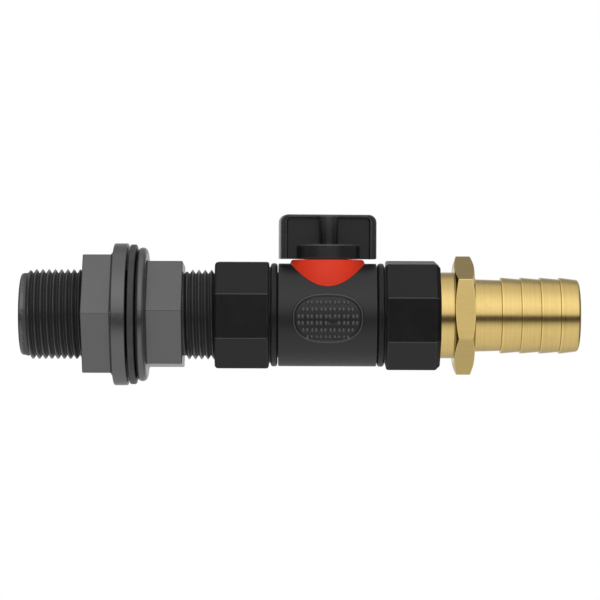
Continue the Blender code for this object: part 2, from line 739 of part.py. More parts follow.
def stem_collar(finish):
    """Red skirt round the neck. It flares downwards, and its foot is cut to sit on the round body."""
    inner = NECK_R + STOP_REACH + GAP

    def side(share):
        def place(angle):
            height = COLLAR_TOP_Z + (collar_foot(angle)[0] - COLLAR_TOP_Z) * share
            return height, collar_radius(height)

        return place

    def underside(share):
        def place(angle):
            radius = inner + (collar_foot(angle)[1] - inner) * share
            return saddle_height(radius, angle), radius

        return place

    path = [
        round_at(COLLAR_TOP_Z, inner),
        round_at(COLLAR_TOP_Z, COLLAR_TOP_R),
        side(0.35),
        side(0.7),
        collar_foot,
        underside(0.67),
        underside(0.33),
        underside(0.0),
    ]
    shape = Loft((0, 0, 0), point_z, sides=2 * SIDES).along_path(path, True).finish("stem_collar", finish)
    shape.location = VALVE_CENTRE
    return shape


def rounded_blade():
    """Side outline of the handle's blade, its two upper corners rounded."""
    half = BLADE_LENGTH / 2
    outline = [(-half, HANDLE_Z), (half, HANDLE_Z)]
    for side, start in ((1, 0), (-1, 90)):
        for i in range(5):
            turn = math.radians(start + 22.5 * i)
            centre_x = side * (half - BLADE_CORNER)
            centre_z = BLADE_TOP_Z - BLADE_CORNER
            across, up = BLADE_CORNER * math.cos(turn), BLADE_CORNER * math.sin(turn)
            outline.append((centre_x + across, centre_z + up))
    return outline


def rib_outline():
    """Plan of the cross rib: straight sides and round noses."""
    nose = RIB_WIDTH / 2
    outline = []
    for side, start in ((1, 0), (-1, 180)):
        for i in range(7):
            turn = math.radians(start + 30 * i)
            outline.append((nose * math.cos(turn), side * (RIB_REACH - nose) + nose * math.sin(turn)))
    return outline


def handle(finish, place):
    """Butterfly handle: a panelled blade over a hollow skirt, with a rib across the middle."""
    blade = prism("handle", rounded_blade(), -BLADE_THICK / 2, BLADE_THICK / 2, "Y", finish)
    panels = []
    web = BLADE_THICK / 2 - PANEL_DEPTH
    for x_side in (-1, 1):
        for y_side in (-1, 1):
            xs = sorted((x_side * RIB_WIDTH / 4, x_side * (BLADE_LENGTH / 2 - PANEL_BORDER)))
            ys = sorted((y_side * web, y_side * (BLADE_THICK / 2 + 1.0 * MM)))
            low = (xs[0], ys[0], HANDLE_Z - 1.0 * MM)
            high = (xs[1], ys[1], BLADE_TOP_Z - PANEL_TOP_BORDER)
            panels.append(block(f"panel_{x_side}_{y_side}", low, high))
    skirt = cylinder("skirt", SKIRT_R, HANDLE_Z, SKIRT_TOP_Z, 2 * SIDES)
    rib = prism("rib", rib_outline(), SKIRT_TOP_Z - 1.0 * MM, BLADE_TOP_Z - RIB_DROP, "Z")
    hollow_r = SKIRT_R - SKIRT_WALL
    hollow = cylinder("skirt_hollow", hollow_r, HANDLE_Z - 1.0 * MM, SKIRT_CEILING_Z)
    lug_outline = sector(NECK_R + GAP, hollow_r + 1.0 * MM, math.pi / 2, STOP_LUG)
    lug = prism("handle_lug", lug_outline, HANDLE_Z + GAP, SKIRT_CEILING_Z + 0.5 * MM, "Z")
    side = DRIVE_HALF_SIDE + GAP
    socket = block("drive_socket", (-side, -side, HANDLE_Z), (side, side, DRIVE_TOP_Z + GAP))
    head_floor = screw_head_z() - GAP
    hole = cylinder("screw_clearance", SCREW_SHANK_R + GAP, HANDLE_Z, BLADE_TOP_Z, 12)
    head = cylinder("screw_head_pocket", SCREW_HEAD_R + GAP, head_floor, BLADE_TOP_Z + 1.0 * MM, 16)
    boolean(blade, "DIFFERENCE", *panels)
    boolean(blade, "UNION", skirt, rib)
    boolean(blade, "DIFFERENCE", hollow)
    boolean(blade, "UNION", lug)
    boolean(blade, "DIFFERENCE", socket, hole, head)
    place_on([blade, *panels, skirt, rib, hollow, lug, socket, hole, head], place)
    return blade


def screw_head_z():
    """Underside of the screw's head, sunk into the blade's top."""
    return BLADE_TOP_Z - RIB_DROP - SCREW_HEAD_HEIGHT - GAP


def handle_screw(finish, place):
    """Slotted screw that holds the handle down on the stem."""
    head = screw_head_z()
    dome = SCREW_HEAD_HEIGHT / 3
    path = [
        round_at(DRIVE_TOP_Z - SCREW_DEPTH, SCREW_SHANK_R * 0.5),
        round_at(DRIVE_TOP_Z - SCREW_DEPTH + SCREW_SHANK_R, SCREW_SHANK_R),
        round_at(head, SCREW_SHANK_R),
        round_at(head, SCREW_HEAD_R),
        round_at(head + SCREW_HEAD_HEIGHT - dome, SCREW_HEAD_R),
        round_at(head + SCREW_HEAD_HEIGHT, SCREW_HEAD_R - dome),
    ]
    shape = Loft((0, 0, 0), point_z, sides=16).along_path(path, False).finish("handle_screw", finish)
    slot = block(
        "screw_slot",
        (-SCREW_SLOT / 2, -SCREW_HEAD_R * 2, head + SCREW_HEAD_HEIGHT - dome * 1.5),
        (SCREW_SLOT / 2, SCREW_HEAD_R * 2, head + SCREW_HEAD_HEIGHT + 1.0 * MM),
    )
    boolean(shape, "DIFFERENCE", slot)
    place_on([shape, slot], place)


# --- Hose tail -----------------------------------------------------------------------------------------


def hose_tail(finish):
    """Brass tail: male thread, plain neck, thin hexagon, then a tube with four hose barbs."""
    left_end = VALVE_X + MALE_END_OUT
    neck_x = VALVE_X + VALVE_HALF_LENGTH
    hex_x = neck_x + TAIL_NECK_LENGTH
    tube_x = hex_x + TAIL_HEX_LENGTH
    barb_x = tube_x + BARB_NECK_LENGTH
    end_x = barb_x + BARB_COUNT * BARB_PITCH
    half = TAIL_HEX_FLATS / 2
    clock = TAIL_HEX_CLOCK
    bevel = 0.6 * MM
    undercut = 0.9 * MM
    path = [
        round_at(left_end, THREAD_ROOT_R - bevel),
        round_at(left_end + bevel, THREAD_ROOT_R),
        Thread(left_end + bevel, neck_x - undercut),
        round_at(neck_x - undercut, THREAD_ROOT_R),
        round_at(neck_x - undercut + THREAD_CREST_R - THREAD_ROOT_R, TAIL_NECK_R),
        round_at(hex_x, TAIL_NECK_R),
        round_at(hex_x, half),
        chamfer_at(hex_x, half, 6, clock, 1),
        chamfer_at(tube_x, half, 6, clock, -1),
        round_at(tube_x, half),
        round_at(tube_x, BARB_NECK_R),
    ]
    valley = BARB_NECK_R - (BARB_CREST_R - BARB_VALLEY_R) / 2
    for i in range(BARB_COUNT):
        start = barb_x + i * BARB_PITCH
        path += [round_at(start, valley), round_at(start, BARB_CREST_R)]
        valley = BARB_VALLEY_R
    path += [
        *arc(end_x - BARB_NOSE, BARB_VALLEY_R - BARB_NOSE, BARB_NOSE, 90, 0),
        round_at(end_x, TAIL_BORE_R),
        round_at(left_end, TAIL_BORE_R),
    ]
    return Loft((neck_x, 0, 0), clock=clock).along_path(path, True).finish("hose_tail", finish)


def main():
    clear_scene()
    grey = material("grey_plastic", (0.055, 0.055, 0.057), 0.5)
    black = material("black_plastic", (0.012, 0.012, 0.013), 0.38)
    red = material("red_plastic", (0.76, 0.055, 0.02), 0.42)
    brass = material("brass", (0.72, 0.52, 0.22), 0.26, 1.0)
    rubber = material("seal_rubber", (0.02, 0.02, 0.02), 0.75)
    gasket = material("gasket_rubber", (0.045, 0.045, 0.046), 0.7)
    seat_plastic = material("seat_plastic", (0.8, 0.8, 0.77), 0.5)
    ball_plastic = material("ball_plastic", (0.7, 0.7, 0.68), 0.25)
    steel = material("stainless_steel", (0.6, 0.6, 0.6), 0.3, 1.0)

    through_hull_fitting(grey)
    hull_gasket(gasket)
    back_nut(grey)
    valve_body(black)
    stem_collar(red)
    for side, end, clock in ((-1, "inlet", INLET_CLOCK), (1, "outlet", OUTLET_CLOCK)):
        end_piece(f"{end}_end", side, clock, black)
        seat(f"{end}_seat", side, seat_plastic)
        seat_seal_x = VALVE_X + side * (SPIGOT_END_OUT + SEAT_SEAL_SECTION_R - SEAL_GAP)
        oring(f"{end}_seat_oring", seat_seal_x, SEAT_SEAL_R, SEAT_SEAL_SECTION_R, rubber)
        end_seal_x = VALVE_X + side * (SEAL_POCKET_OUT + BODY_HALF_LENGTH + GAP) / 2
        end_seal_r = (CAVITY_R + SEAL_GAP) / math.cos(math.pi / ORING_SIDES) + SEAL_GAP + END_SEAL_SECTION_R
        oring(f"{end}_end_oring", end_seal_x, end_seal_r, END_SEAL_SECTION_R, rubber)
        socket_washer(f"{end}_socket_washer", side, rubber)

    stem_axis = empty("stem_axis", VALVE_CENTRE, HANDLE_REST)
    ball(ball_plastic, stem_axis)
    stem(steel, stem_axis)
    thrust_washer(seat_plastic, stem_axis)
    stem_orings(rubber, stem_axis)
    handle(black, stem_axis)
    handle_screw(steel, stem_axis)
    hose_tail(brass)


main()
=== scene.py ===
"""Looks of a seacock valve: a threaded hull fitting, a ball valve with a butterfly handle, and a brass hose tail.

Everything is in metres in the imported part's own frame: X runs along the water way towards the hose tail, and
the handle stands up along Z. Each sub-assembly is a class: its fields are its sizes, its methods work out its
surfaces as numpy grids and dress them. Finishes are classes of their own.
"""

import logging
import math
from dataclasses import dataclass, field
from enum import Enum

import bmesh
import bpy
import numpy as np
from mathutils import Matrix, Vector


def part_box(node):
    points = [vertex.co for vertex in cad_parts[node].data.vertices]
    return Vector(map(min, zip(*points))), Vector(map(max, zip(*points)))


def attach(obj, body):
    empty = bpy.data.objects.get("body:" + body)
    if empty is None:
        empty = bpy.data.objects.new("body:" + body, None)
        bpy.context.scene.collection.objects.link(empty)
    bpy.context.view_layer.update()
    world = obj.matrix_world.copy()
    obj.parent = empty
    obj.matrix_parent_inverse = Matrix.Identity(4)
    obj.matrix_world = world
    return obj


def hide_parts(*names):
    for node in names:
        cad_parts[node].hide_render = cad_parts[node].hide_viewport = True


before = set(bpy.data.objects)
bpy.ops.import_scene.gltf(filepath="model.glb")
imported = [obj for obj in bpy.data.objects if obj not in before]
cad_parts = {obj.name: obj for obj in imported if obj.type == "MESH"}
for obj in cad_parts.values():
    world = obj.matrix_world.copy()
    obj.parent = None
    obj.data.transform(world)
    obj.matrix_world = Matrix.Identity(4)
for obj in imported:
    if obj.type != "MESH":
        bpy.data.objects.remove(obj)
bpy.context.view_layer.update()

log = logging.getLogger("seacock")

MM = 0.001
TURN = math.tau
WELD = 0.0015 * MM
SHARP = math.radians(34.0)
WIDE_GAP = 1.2 * MM
SUPPORTS = (0.14 * MM, 0.38 * MM)
Array = np.ndarray
Rows = list[tuple[float, ...]]


class Body(Enum):
    """The bodies that move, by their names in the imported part."""

    VALVE_RUN = "valve_run"
    HANDLE = "handle"
    BALL = "ball"
    GASKET = "hull_gasket"
    NUT = "back_nut"


class Axis(Enum):
    """The line that a turned piece is turned round."""

    WATER_WAY = "x"
    STEM = "z"


# --- Surfaces ------------------------------------------------------------------------------------------


@dataclass(frozen=True)
class Flats:
    """Cross-section of a nut: flat sides whose corners are rounded.

    sides is the number of flats, clock the angle of the first corner, and corner the corners' radius.
    """

    sides: int
    clock: float
    corner: float

    def radius(self, half: float, angles: Array) -> Array:
        """Works out the section's distance from the axis at each angle.

        On a flat it is the half width over the cosine of the angle from the flat's middle. Near a corner it
        is where the ray meets the corner's own circle.

        Args:
            half: Half of the width across the flats.
            angles: Angles round the axis.

        Returns:
            The distance from the axis at each angle.
        """
        sector = TURN / self.sides
        corner = min(self.corner, half * 0.5)
        off = np.abs((angles - self.clock + sector / 2) % sector - sector / 2)
        centre = (half - corner) / math.cos(sector / 2)
        touch = sector / 2 - math.atan((half - corner) * math.tan(sector / 2) / half)
        flat = half / np.cos(sector / 2 - off)
        inside = np.clip(corner**2 - (centre * np.sin(off)) ** 2, 0.0, None)
        return np.where(off < touch, centre * np.cos(off) + np.sqrt(inside), flat)

    def angles(self, half: float, between: int) -> Array:
        """Spreads columns round the axis, with more of them on each rounded corner.

        Args:
            half: Half of the width across the flats.
            between: Columns between one corner and the next.

        Returns:
            The angles from the first corner round to the same corner again.
        """
        sector = TURN / self.sides
        touch = sector / 2 - math.atan((half - self.corner) * math.tan(sector / 2) / half)
        near = touch * np.array([-1.6, -1.0, -0.55, -0.18, 0.18, 0.55, 1.0, 1.6])
        far = np.linspace(near[-1], sector + near[0], between + 2)[1:-1]
        one = np.concatenate([near, far])
        turns = (np.arange(self.sides)[:, None] * sector + one[None, :]).ravel()
        return np.append(turns, turns[0] + TURN) + self.clock


def even_angles(count: int, clock: float = 0.0) -> Array:
    """Spreads columns evenly round an axis, the last one closing the turn."""
    return clock + np.linspace(0.0, TURN, count + 1)


def eased(points: Rows, steps: int = 4) -> Array:
    """Rounds the corners of a profile.

    Each corner gives way to the arc that touches both of its straight sides.

    Args:
        points: Rows of place along the axis, distance from it and, where the corner is rounded, its radius.
        steps: Straight pieces that an arc is made of.

    Returns:
        Rows of place along the axis and distance from it.
    """
    spots = np.array([p[:2] for p in points], float)
    sizes = [p[2] if len(p) > 2 else 0.0 for p in points]
    made = []
    for i, (spot, size) in enumerate(zip(spots, sizes, strict=True)):
        if size <= 0.0:
            made.append(spot[None])
            continue
        back, ahead = spots[i - 1] - spot, spots[(i + 1) % len(spots)] - spot
        back, ahead = back / np.linalg.norm(back), ahead / np.linalg.norm(ahead)
        half = math.acos(float(np.clip(back @ ahead, -1.0, 1.0))) / 2
        middle = (back + ahead) / np.linalg.norm(back + ahead)
        centre = spot + middle * size / math.sin(half)
        first = spot + back * size / math.tan(half) - centre
        last = spot + ahead * size / math.tan(half) - centre
        share = np.linspace(0.0, 1.0, steps + 1)[:, None]
        sweep = math.pi - 2 * half
        arc = (first * np.sin((1 - share) * sweep) + last * np.sin(share * sweep)) / math.sin(sweep)
        made.append(centre + arc)
    return np.concatenate(made)


@dataclass(frozen=True)
class Thread:
    """A right-hand pipe thread between two places on the water way's axis.

    Its height over the root is a triangle wave of the place along the axis less the climb of the helix, with
    a parabola over each crest and in each root. It fades into the plain radius rest over a run-out.
    """

    low: float
    high: float
    crest: float
    root: float
    rest: float
    pitch: float = 2.309 * MM
    runout: float = 2.0 * MM
    easing: float = 0.12

    def wave(self, phase: Array) -> Array:
        """Height of the thread, from 0 in the root to 1 on the crest, at each share of a pitch."""
        off = np.abs((phase + 0.5) % 1.0 - 0.5)
        slope = 1.0 / (0.5 - self.easing)
        crest = 1.0 - slope * (0.5 - off) ** 2 / (2 * self.easing)
        root = slope * off**2 / (2 * self.easing)
        flank = slope * self.easing / 2 + slope * (off - self.easing)
        return np.where(off < self.easing, root, np.where(off > 0.5 - self.easing, crest, flank))

    def rings(self, angles: Array) -> tuple[Array, Array]:
        """Lays rows along the helix, each held between the thread's two ends.

        Args:
            angles: The piece's columns.

        Returns:
            Place along the axis and distance from it, row by row.
        """
        samples = np.array([0.0, 0.06, 0.12, 0.25, 0.38, 0.44, 0.5, 0.56, 0.62, 0.75, 0.88, 0.94])
        climb = angles / TURN
        first = math.floor(self.low / self.pitch - climb.max()) - 1
        last = math.ceil(self.high / self.pitch - climb.min()) + 1
        phases = (np.arange(first, last)[:, None] + samples[None, :]).ravel()
        free = self.pitch * (phases[:, None] + climb[None, :])
        kept = (free.max(1) > self.low) & (free.min(1) < self.high)
        along = np.clip(free[kept], self.low, self.high)
        fade = np.clip(np.minimum(along - self.low, self.high - along) / self.runout, 0.0, 1.0)
        height = self.root + (self.crest - self.root) * self.wave(along / self.pitch - climb[None, :])
        return along, self.rest + (height - self.rest) * fade


class Rings:
    """A closed surface made of rings round an axis.

    A point of it lies at its ring's place along the axis, and at its ring's distance times the cosine and
    the sine of the column's angle across the axis.
    """

    def __init__(self, angles: Array, axis: Axis = Axis.WATER_WAY, foot: tuple[float, float] = (0.0, 0.0)):
        """Starts with no rings.

        Args:
            angles: The columns' angles, the last one a turn after the first.
            axis: The axis that the rings go round.
            foot: Where the axis stands, in the other two directions.
        """
        self.angles = angles
        self.axis = axis
        self.foot = foot
        self.along: list[Array] = []
        self.radius: list[Array] = []
        self.depth: list[Array] = []

    def add(self, along: Array | float, radius: Array | float, depth: Array | float = 0.0) -> "Rings":
        """Adds rings, given for each column by place, distance and depth in a thread, negative where the grip pad is
        paler for wear and a painted highlight.
        """
        along, radius, depth = np.broadcast_arrays(*(np.atleast_2d(part) for part in (along, radius, depth)))
        shape = (along.shape[0], len(self.angles))
        for kept, part in ((self.along, along), (self.radius, radius), (self.depth, depth)):
            kept.append(np.broadcast_to(part, shape))
        return self

    def round(self, points: Rows, steps: int = 4) -> "Rings":
        """Adds round rings along a profile whose corners are eased."""
        profile = eased(points, steps)
        return self.add(profile[:, :1], profile[:, 1:])

    def flats(self, points: Rows, section: Flats) -> "Rings":
        """Adds rings with flat sides. Each row is a place along the axis and half the width across flats."""
        for along, half in points:
            self.add(along, section.radius(half, self.angles)[None])
        return self

    def thread(self, thread: Thread, backwards: bool = False) -> "Rings":
        """Adds a thread's rings, from its high end to its low end if backwards."""
        along, radius = thread.rings(self.angles)
        depth = np.clip((thread.crest - radius) / (thread.crest - thread.root), 0.0, 1.0)
        step = -1 if backwards else 1
        return self.add(along[::step], radius[::step], depth[::step])

    def rows(self) -> Array:
        """Gathers the rings, with four more beside the ends of every wide gap, to keep wear and painted edge highlights
        near the edges.

        Returns:
            Place along the axis, distance from it and depth in a thread, by part, row and column.
        """
        made = np.stack([np.concatenate(part) for part in (self.along, self.radius, self.depth)])
        gaps = np.hypot(*np.diff(made[:2], axis=1)).max(-1)
        kept = []
        for row, gap in enumerate([*gaps, 0.0]):
            kept.append(made[:, row])
            if gap > WIDE_GAP:
                near = np.array(SUPPORTS) / gap
                kept += [made[:, row] * (1 - t) + made[:, row + 1] * t for t in (*near, *(1 - near[::-1]))]
        return np.stack(kept, 1)

    def grid(self) -> Array:
        """Works out every point of the surface, row by row."""
        along, radius, _ = self.rows()
        across, up = radius * np.cos(self.angles), radius * np.sin(self.angles)
        if self.axis is Axis.WATER_WAY:
            return np.stack([along, across + self.foot[0], up + self.foot[1]], -1)
        return np.stack([across + self.foot[0], up + self.foot[1], along], -1)

    def mesh(self, name: str, looped: bool = True) -> bpy.types.Mesh:
        """Makes the surface's mesh, with each point's depth in a thread stored on it."""
        return grid_mesh(name, self.grid(), looped, self.rows()[2])


def grid_mesh(name: str, grid: Array, looped: bool, depth: Array | None = None) -> bpy.types.Mesh:
    """Turns a grid of points into a closed mesh.

    Neighbouring rows and columns are joined by four-sided faces, points in one place are welded, and each
    edge that turns by more than the sharp angle stays crisp.

    Args:
        name: Name of the mesh.
        grid: Points by row and column, the last column on the first.
        looped: True joins the last row to the first. False leaves rows that end on the axis to close it.
        depth: How deep each point lies in a thread, from 0 to 1.

    Returns:
        The mesh, facing outwards.
    """
    index = np.arange(grid.shape[0] * grid.shape[1]).reshape(grid.shape[:2])
    if looped:
        index = np.vstack([index, index[:1]])
    quads = np.stack([index[:-1, :-1], index[:-1, 1:], index[1:, 1:], index[1:, :-1]], -1).reshape(-1, 4)
    mesh = bpy.data.meshes.new(name)
    mesh.from_pydata(grid.reshape(-1, 3), [], quads)
    stored = mesh.attributes.new("depth", "FLOAT", "POINT")
    if depth is not None:
        stored.data.foreach_set("value", depth.ravel().astype(np.float32))
    work = bmesh.new()
    work.from_mesh(mesh)
    bmesh.ops.remove_doubles(work, verts=work.verts, dist=WELD)
    bmesh.ops.recalc_face_normals(work, faces=work.faces)
    work.to_mesh(mesh)
    work.free()
    return smoothed(mesh)


def smoothed(mesh: bpy.types.Mesh, name: str = "") -> bpy.types.Mesh:
    """Smooths all but a mesh's sharp edges, and gives it a name."""
    mesh.name = name or mesh.name
    mesh.shade_smooth()
    mesh.set_sharp_from_angle(angle=SHARP)
    return mesh


def mark_edges(mesh: bpy.types.Mesh, least: float = 500.0, most: float = 2200.0) -> None:
    """Stores how strongly each point is rounded outwards, for wear and painted edge highlights, and inwards, for patina
    and painted shade in creases.

    The bend along an edge is the difference of its ends' normals along the edge over its length. A point
    takes the strongest of its edges, eased between the two bends least and most, in one over metres.
    """
    count = len(mesh.vertices)
    spots, normals = np.empty(count * 3), np.empty(count * 3)
    ends = np.empty(len(mesh.edges) * 2, np.int32)
    mesh.vertices.foreach_get("co", spots)
    mesh.vertices.foreach_get("normal", normals)
    mesh.edges.foreach_get("vertices", ends)
    spots, normals, ends = spots.reshape(-1, 3), normals.reshape(-1, 3), ends.reshape(-1, 2)
    step = spots[ends[:, 1]] - spots[ends[:, 0]]
    change = normals[ends[:, 1]] - normals[ends[:, 0]]
    bend = (change * step).sum(1) / np.maximum((step * step).sum(1), 1e-14)
    for label, signed in (("edge", bend), ("hollow", -bend)):
        share = np.clip((signed - least) / (most - least), 0.0, 1.0)
        kept = np.zeros(count)
        np.maximum.at(kept, ends[:, 0], share)
        np.maximum.at(kept, ends[:, 1], share)
        stored = mesh.attributes.new(label, "FLOAT", "POINT")
        stored.data.foreach_set("value", kept.astype(np.float32))


def outline(half: tuple[float, float], corners: tuple[float, float], middle: tuple[float, float],
            inset: float = 0.0, steps: int = 8) -> Array:
    """Works out a rectangle with rounded corners.

    Each corner is a quarter circle. An inset moves every side in and makes the corners' radii smaller.

    Args:
        half: Half the width and half the height.
        corners: Radius of the two upper corners and of the two lower ones.
        middle: The rectangle's middle.
        inset: How far the outline is moved in.
        steps: Straight pieces in a corner.

    Returns:
        Points once round, the last on the first.
    """
    made = []
    turns = np.linspace(0.0, TURN / 4, steps + 1)
    for quarter, (side, lift) in enumerate(((1, 1), (-1, 1), (-1, -1), (1, -1))):
        radius = max(corners[0 if lift > 0 else 1] - inset, 0.02 * MM)
        centre = np.array([side * (half[0] - inset - radius), lift * (half[1] - inset - radius)])
        turn = turns + quarter * TURN / 4
        made.append(centre + radius * np.stack([np.cos(turn), np.sin(turn)], -1))
    points = np.concatenate(made) + np.array(middle)
    return spread(np.vstack([points, points[:1]]))


def spread(path: Array) -> Array:
    """Adds points beside the ends of every wide gap of a path, in shares of the straight line between."""
    gaps = np.linalg.norm(np.diff(path, axis=0), axis=1)
    kept = []
    for point, ahead, gap in zip(path[:-1], path[1:], gaps, strict=True):
        kept.append(point)
        if gap > WIDE_GAP:
            near = np.array(SUPPORTS) / gap
            kept += [point * (1 - t) + ahead * t for t in (*near, *(1 - near[::-1]))]
    return np.array([*kept, path[-1]])


def pill(half_width: float, reach: float, steps: int = 14) -> Array:
    """Plan of a bar with two round noses, once round, the last point on the first."""
    turns = np.linspace(0.0, TURN / 2, steps + 1)
    nose = half_width * np.stack([np.cos(turns), np.sin(turns)], -1) + np.array([0.0, reach - half_width])
    points = np.vstack([nose, -nose])
    return np.vstack([points, points[:1]])


def stacked(layers: list[tuple[float, Array]], upright: bool) -> Array:
    """Stacks outlines into a grid, closed at both ends by a point in the middle.

    Args:
        layers: The level and the outline of each layer. Outlines lie across Z if upright, otherwise across Y.
        upright: True stacks along Z, False along Y.

    Returns:
        Points by layer and place round the outline.
    """
    rows = []
    caps = []
    for level, flat in (layers[0], layers[-1]):
        middle = (flat.min(0) + flat.max(0)) / 2
        inwards = middle - flat
        size = np.linalg.norm(inwards, axis=1, keepdims=True)
        caps.append([(level, flat + inwards * np.minimum(step / size, 0.5)) for step in SUPPORTS])
        caps[-1].append((level, np.broadcast_to(middle, flat.shape)))
    for level, flat in [*caps[0][::-1], *layers, *caps[1]]:
        deep = np.full(len(flat), level)
        row = [flat[:, 0], flat[:, 1], deep] if upright else [flat[:, 0], deep, flat[:, 1]]
        rows.append(np.stack(row, -1))
    return np.stack(rows)


def combined(target: bpy.types.Mesh, operation: str, tools: list[bpy.types.Mesh]) -> bpy.types.Mesh:
    """Joins or cuts a mesh with others, and removes the others.

    Args:
        target: The mesh that is changed.
        operation: UNION or DIFFERENCE.
        tools: The meshes that join it or cut it.

    Returns:
        The new mesh.
    """
    body = bpy.data.objects.new(target.name, target)
    bpy.context.scene.collection.objects.link(body)
    helpers = []
    for tool in tools:
        helper = bpy.data.objects.new(tool.name, tool)
        bpy.context.scene.collection.objects.link(helper)
        step = body.modifiers.new(tool.name, "BOOLEAN")
        step.operation, step.solver, step.object = operation, "EXACT", helper
        helpers.append(helper)
    seen = body.evaluated_get(bpy.context.evaluated_depsgraph_get())
    made = bpy.data.meshes.new_from_object(seen)
    for spare in [body, *helpers]:
        used = spare.data
        bpy.data.objects.remove(spare)
        bpy.data.meshes.remove(used)
    return made


# --- Materials -----------------------------------------------------------------------------------------


class Value:
    """A number that varies over a surface: one socket of a material's nodes, used in sums like a number."""

    def __init__(self, nodes: "Nodes", socket: bpy.types.NodeSocket):
        """Wraps a socket of the given nodes."""
        self.nodes = nodes
        self.socket = socket

    def joined(self, operation: str, first: object, second: object) -> "Value":
        """Adds a Math node for one operation on two values."""
        node = self.nodes.add("ShaderNodeMath", {"operation": operation}, {0: first, 1: second})
        return Value(self.nodes, node.outputs[0])

    def __add__(self, other: object) -> "Value":
        """Sum."""
        return self.joined("ADD", self, other)

    def __radd__(self, other: object) -> "Value":
        """Sum, with the number first."""
        return self.joined("ADD", other, self)

    def __sub__(self, other: object) -> "Value":
        """Difference."""
        return self.joined("SUBTRACT", self, other)

    def __rsub__(self, other: object) -> "Value":
        """Difference, with the number first."""
        return self.joined("SUBTRACT", other, self)

    def __mul__(self, other: object) -> "Value":
        """Product."""
        return self.joined("MULTIPLY", self, other)

    def __rmul__(self, other: object) -> "Value":
        """Product, with the number first."""
        return self.joined("MULTIPLY", other, self)

    def __truediv__(self, other: object) -> "Value":
        """Quotient."""
        return self.joined("DIVIDE", self, other)

    def __pow__(self, other: object) -> "Value":
        """Power."""
        return self.joined("POWER", self, other)

    def rise(self, low: float, high: float) -> "Value":
        """Goes smoothly from 0 at low to 1 at high."""
        node = self.nodes.add(
            "ShaderNodeMapRange", {"interpolation_type": "SMOOTHSTEP"}, {"Value": self, "From Min": low, "From Max": high}
        )
        return Value(self.nodes, node.outputs["Result"])


class Nodes:
    """A material's node tree with a Principled shader, and the ways to add to it."""

    def __init__(self, name: str):
        """Makes an empty material of that name."""
        self.material = bpy.data.materials.new(name)
        self.material.use_nodes = True
        self.tree = self.material.node_tree
        self.shader = self.tree.nodes["Principled BSDF"]

    def add(self, kind: str, settings: dict | None = None, sockets: dict | None = None) -> bpy.types.Node:
        """Adds a node.

        Args:
            kind: The node's type.
            settings: Its own properties. A ramp's stops are given as places and colours.
            sockets: Values or links of its input sockets, by name or number.

        Returns:
            The node.
        """
        node = self.tree.nodes.new(kind)
        for key, value in (settings or {}).items():
            if key == "stops":
                ramp = node.color_ramp
                while len(ramp.elements) < len(value):
                    ramp.elements.new(0.5)
                for stop, (place, colour) in zip(ramp.elements, value, strict=True):
                    stop.position, stop.color = place, (*colour, 1.0)
            else:
                setattr(node, key, value)
        for key, value in (sockets or {}).items():
            self.feed(node.inputs[key], value)
        return node

    def feed(self, socket: bpy.types.NodeSocket, value: object) -> None:
        """Links a socket to a value or another socket, or sets it."""
        if isinstance(value, Value):
            value = value.socket
        if isinstance(value, bpy.types.NodeSocket):
            self.tree.links.new(value, socket)
        else:
            socket.default_value = value

    def place(self) -> bpy.types.NodeSocket:
        """Place on the object, in metres."""
        return self.add("ShaderNodeTexCoord").outputs["Object"]

    def stretched(self, scale: tuple[float, float, float], turn: tuple[float, float, float] = (0.0, 0.0, 0.0),
                  shift: tuple[float, float, float] = (0.0, 0.0, 0.0)) -> bpy.types.NodeSocket:
        """Place on the object, moved, turned and stretched, to lay a pattern along one direction."""
        sockets = {"Vector": self.place(), "Scale": scale, "Rotation": turn, "Location": shift}
        return self.add("ShaderNodeMapping", None, sockets).outputs[0]

    def parts(self) -> tuple[Value, Value, Value]:
        """The three parts of the place on the object."""
        node = self.add("ShaderNodeSeparateXYZ", None, {0: self.place()})
        return tuple(Value(self, out) for out in node.outputs)

    def vector(self, x: object, y: object, z: object) -> bpy.types.NodeSocket:
        """A place made of three values."""
        return self.add("ShaderNodeCombineXYZ", None, {0: x, 1: y, 2: z}).outputs[0]

    def noise(self, vector: object, scale: float, detail: float = 3.0, roughness: float = 0.5) -> Value:
        """Cloudy noise, about 0.5 on average."""
        sockets = {"Vector": vector, "Scale": scale, "Detail": detail, "Roughness": roughness}
        return Value(self, self.add("ShaderNodeTexNoise", None, sockets).outputs[0])

    def cells(self, vector: object, scale: float) -> Value:
        """Distance from the middle of the nearest cell of a scattered pattern."""
        return Value(self, self.add("ShaderNodeTexVoronoi", None, {"Vector": vector, "Scale": scale}).outputs[0])

    def stored(self, label: str) -> Value:
        """A number stored on the mesh."""
        return Value(self, self.add("ShaderNodeAttribute", {"attribute_name": label}).outputs["Fac"])

    def mix(self, share: object, first: object, second: object) -> bpy.types.NodeSocket:
        """A colour between two colours."""
        node = self.add("ShaderNodeMix", {"data_type": "RGBA"}, {0: share})
        for socket, colour in ((node.inputs[6], first), (node.inputs[7], second)):
            self.feed(socket, (*colour, 1.0) if isinstance(colour, tuple) else colour)
        return node.outputs[2]

    def finish(self, colour: object, roughness: object, height: object, distance: float,
               strength: float = 1.0, **constants: float) -> bpy.types.Material:
        """Feeds the shader.

        Args:
            colour: Base colour.
            roughness: Roughness.
            height: Height of the surface's fine relief, about 0 to 1, or None.
            distance: What a height of 1 stands for, in metres.
            strength: Share of the relief that shows.
            constants: Other sockets of the shader, the same all over, with _ for spaces.

        Returns:
            The material.
        """
        self.feed(self.shader.inputs["Base Color"], (*colour, 1.0) if isinstance(colour, tuple) else colour)
        self.feed(self.shader.inputs["Roughness"], roughness)
        for label, value in constants.items():
            self.feed(self.shader.inputs[label.replace("_", " ")], value)
        if height is not None:
            bump = self.add("ShaderNodeBump", None, {"Height": height, "Distance": distance, "Strength": strength})
            self.feed(self.shader.inputs["Normal"], bump.outputs[0])
        return self.material


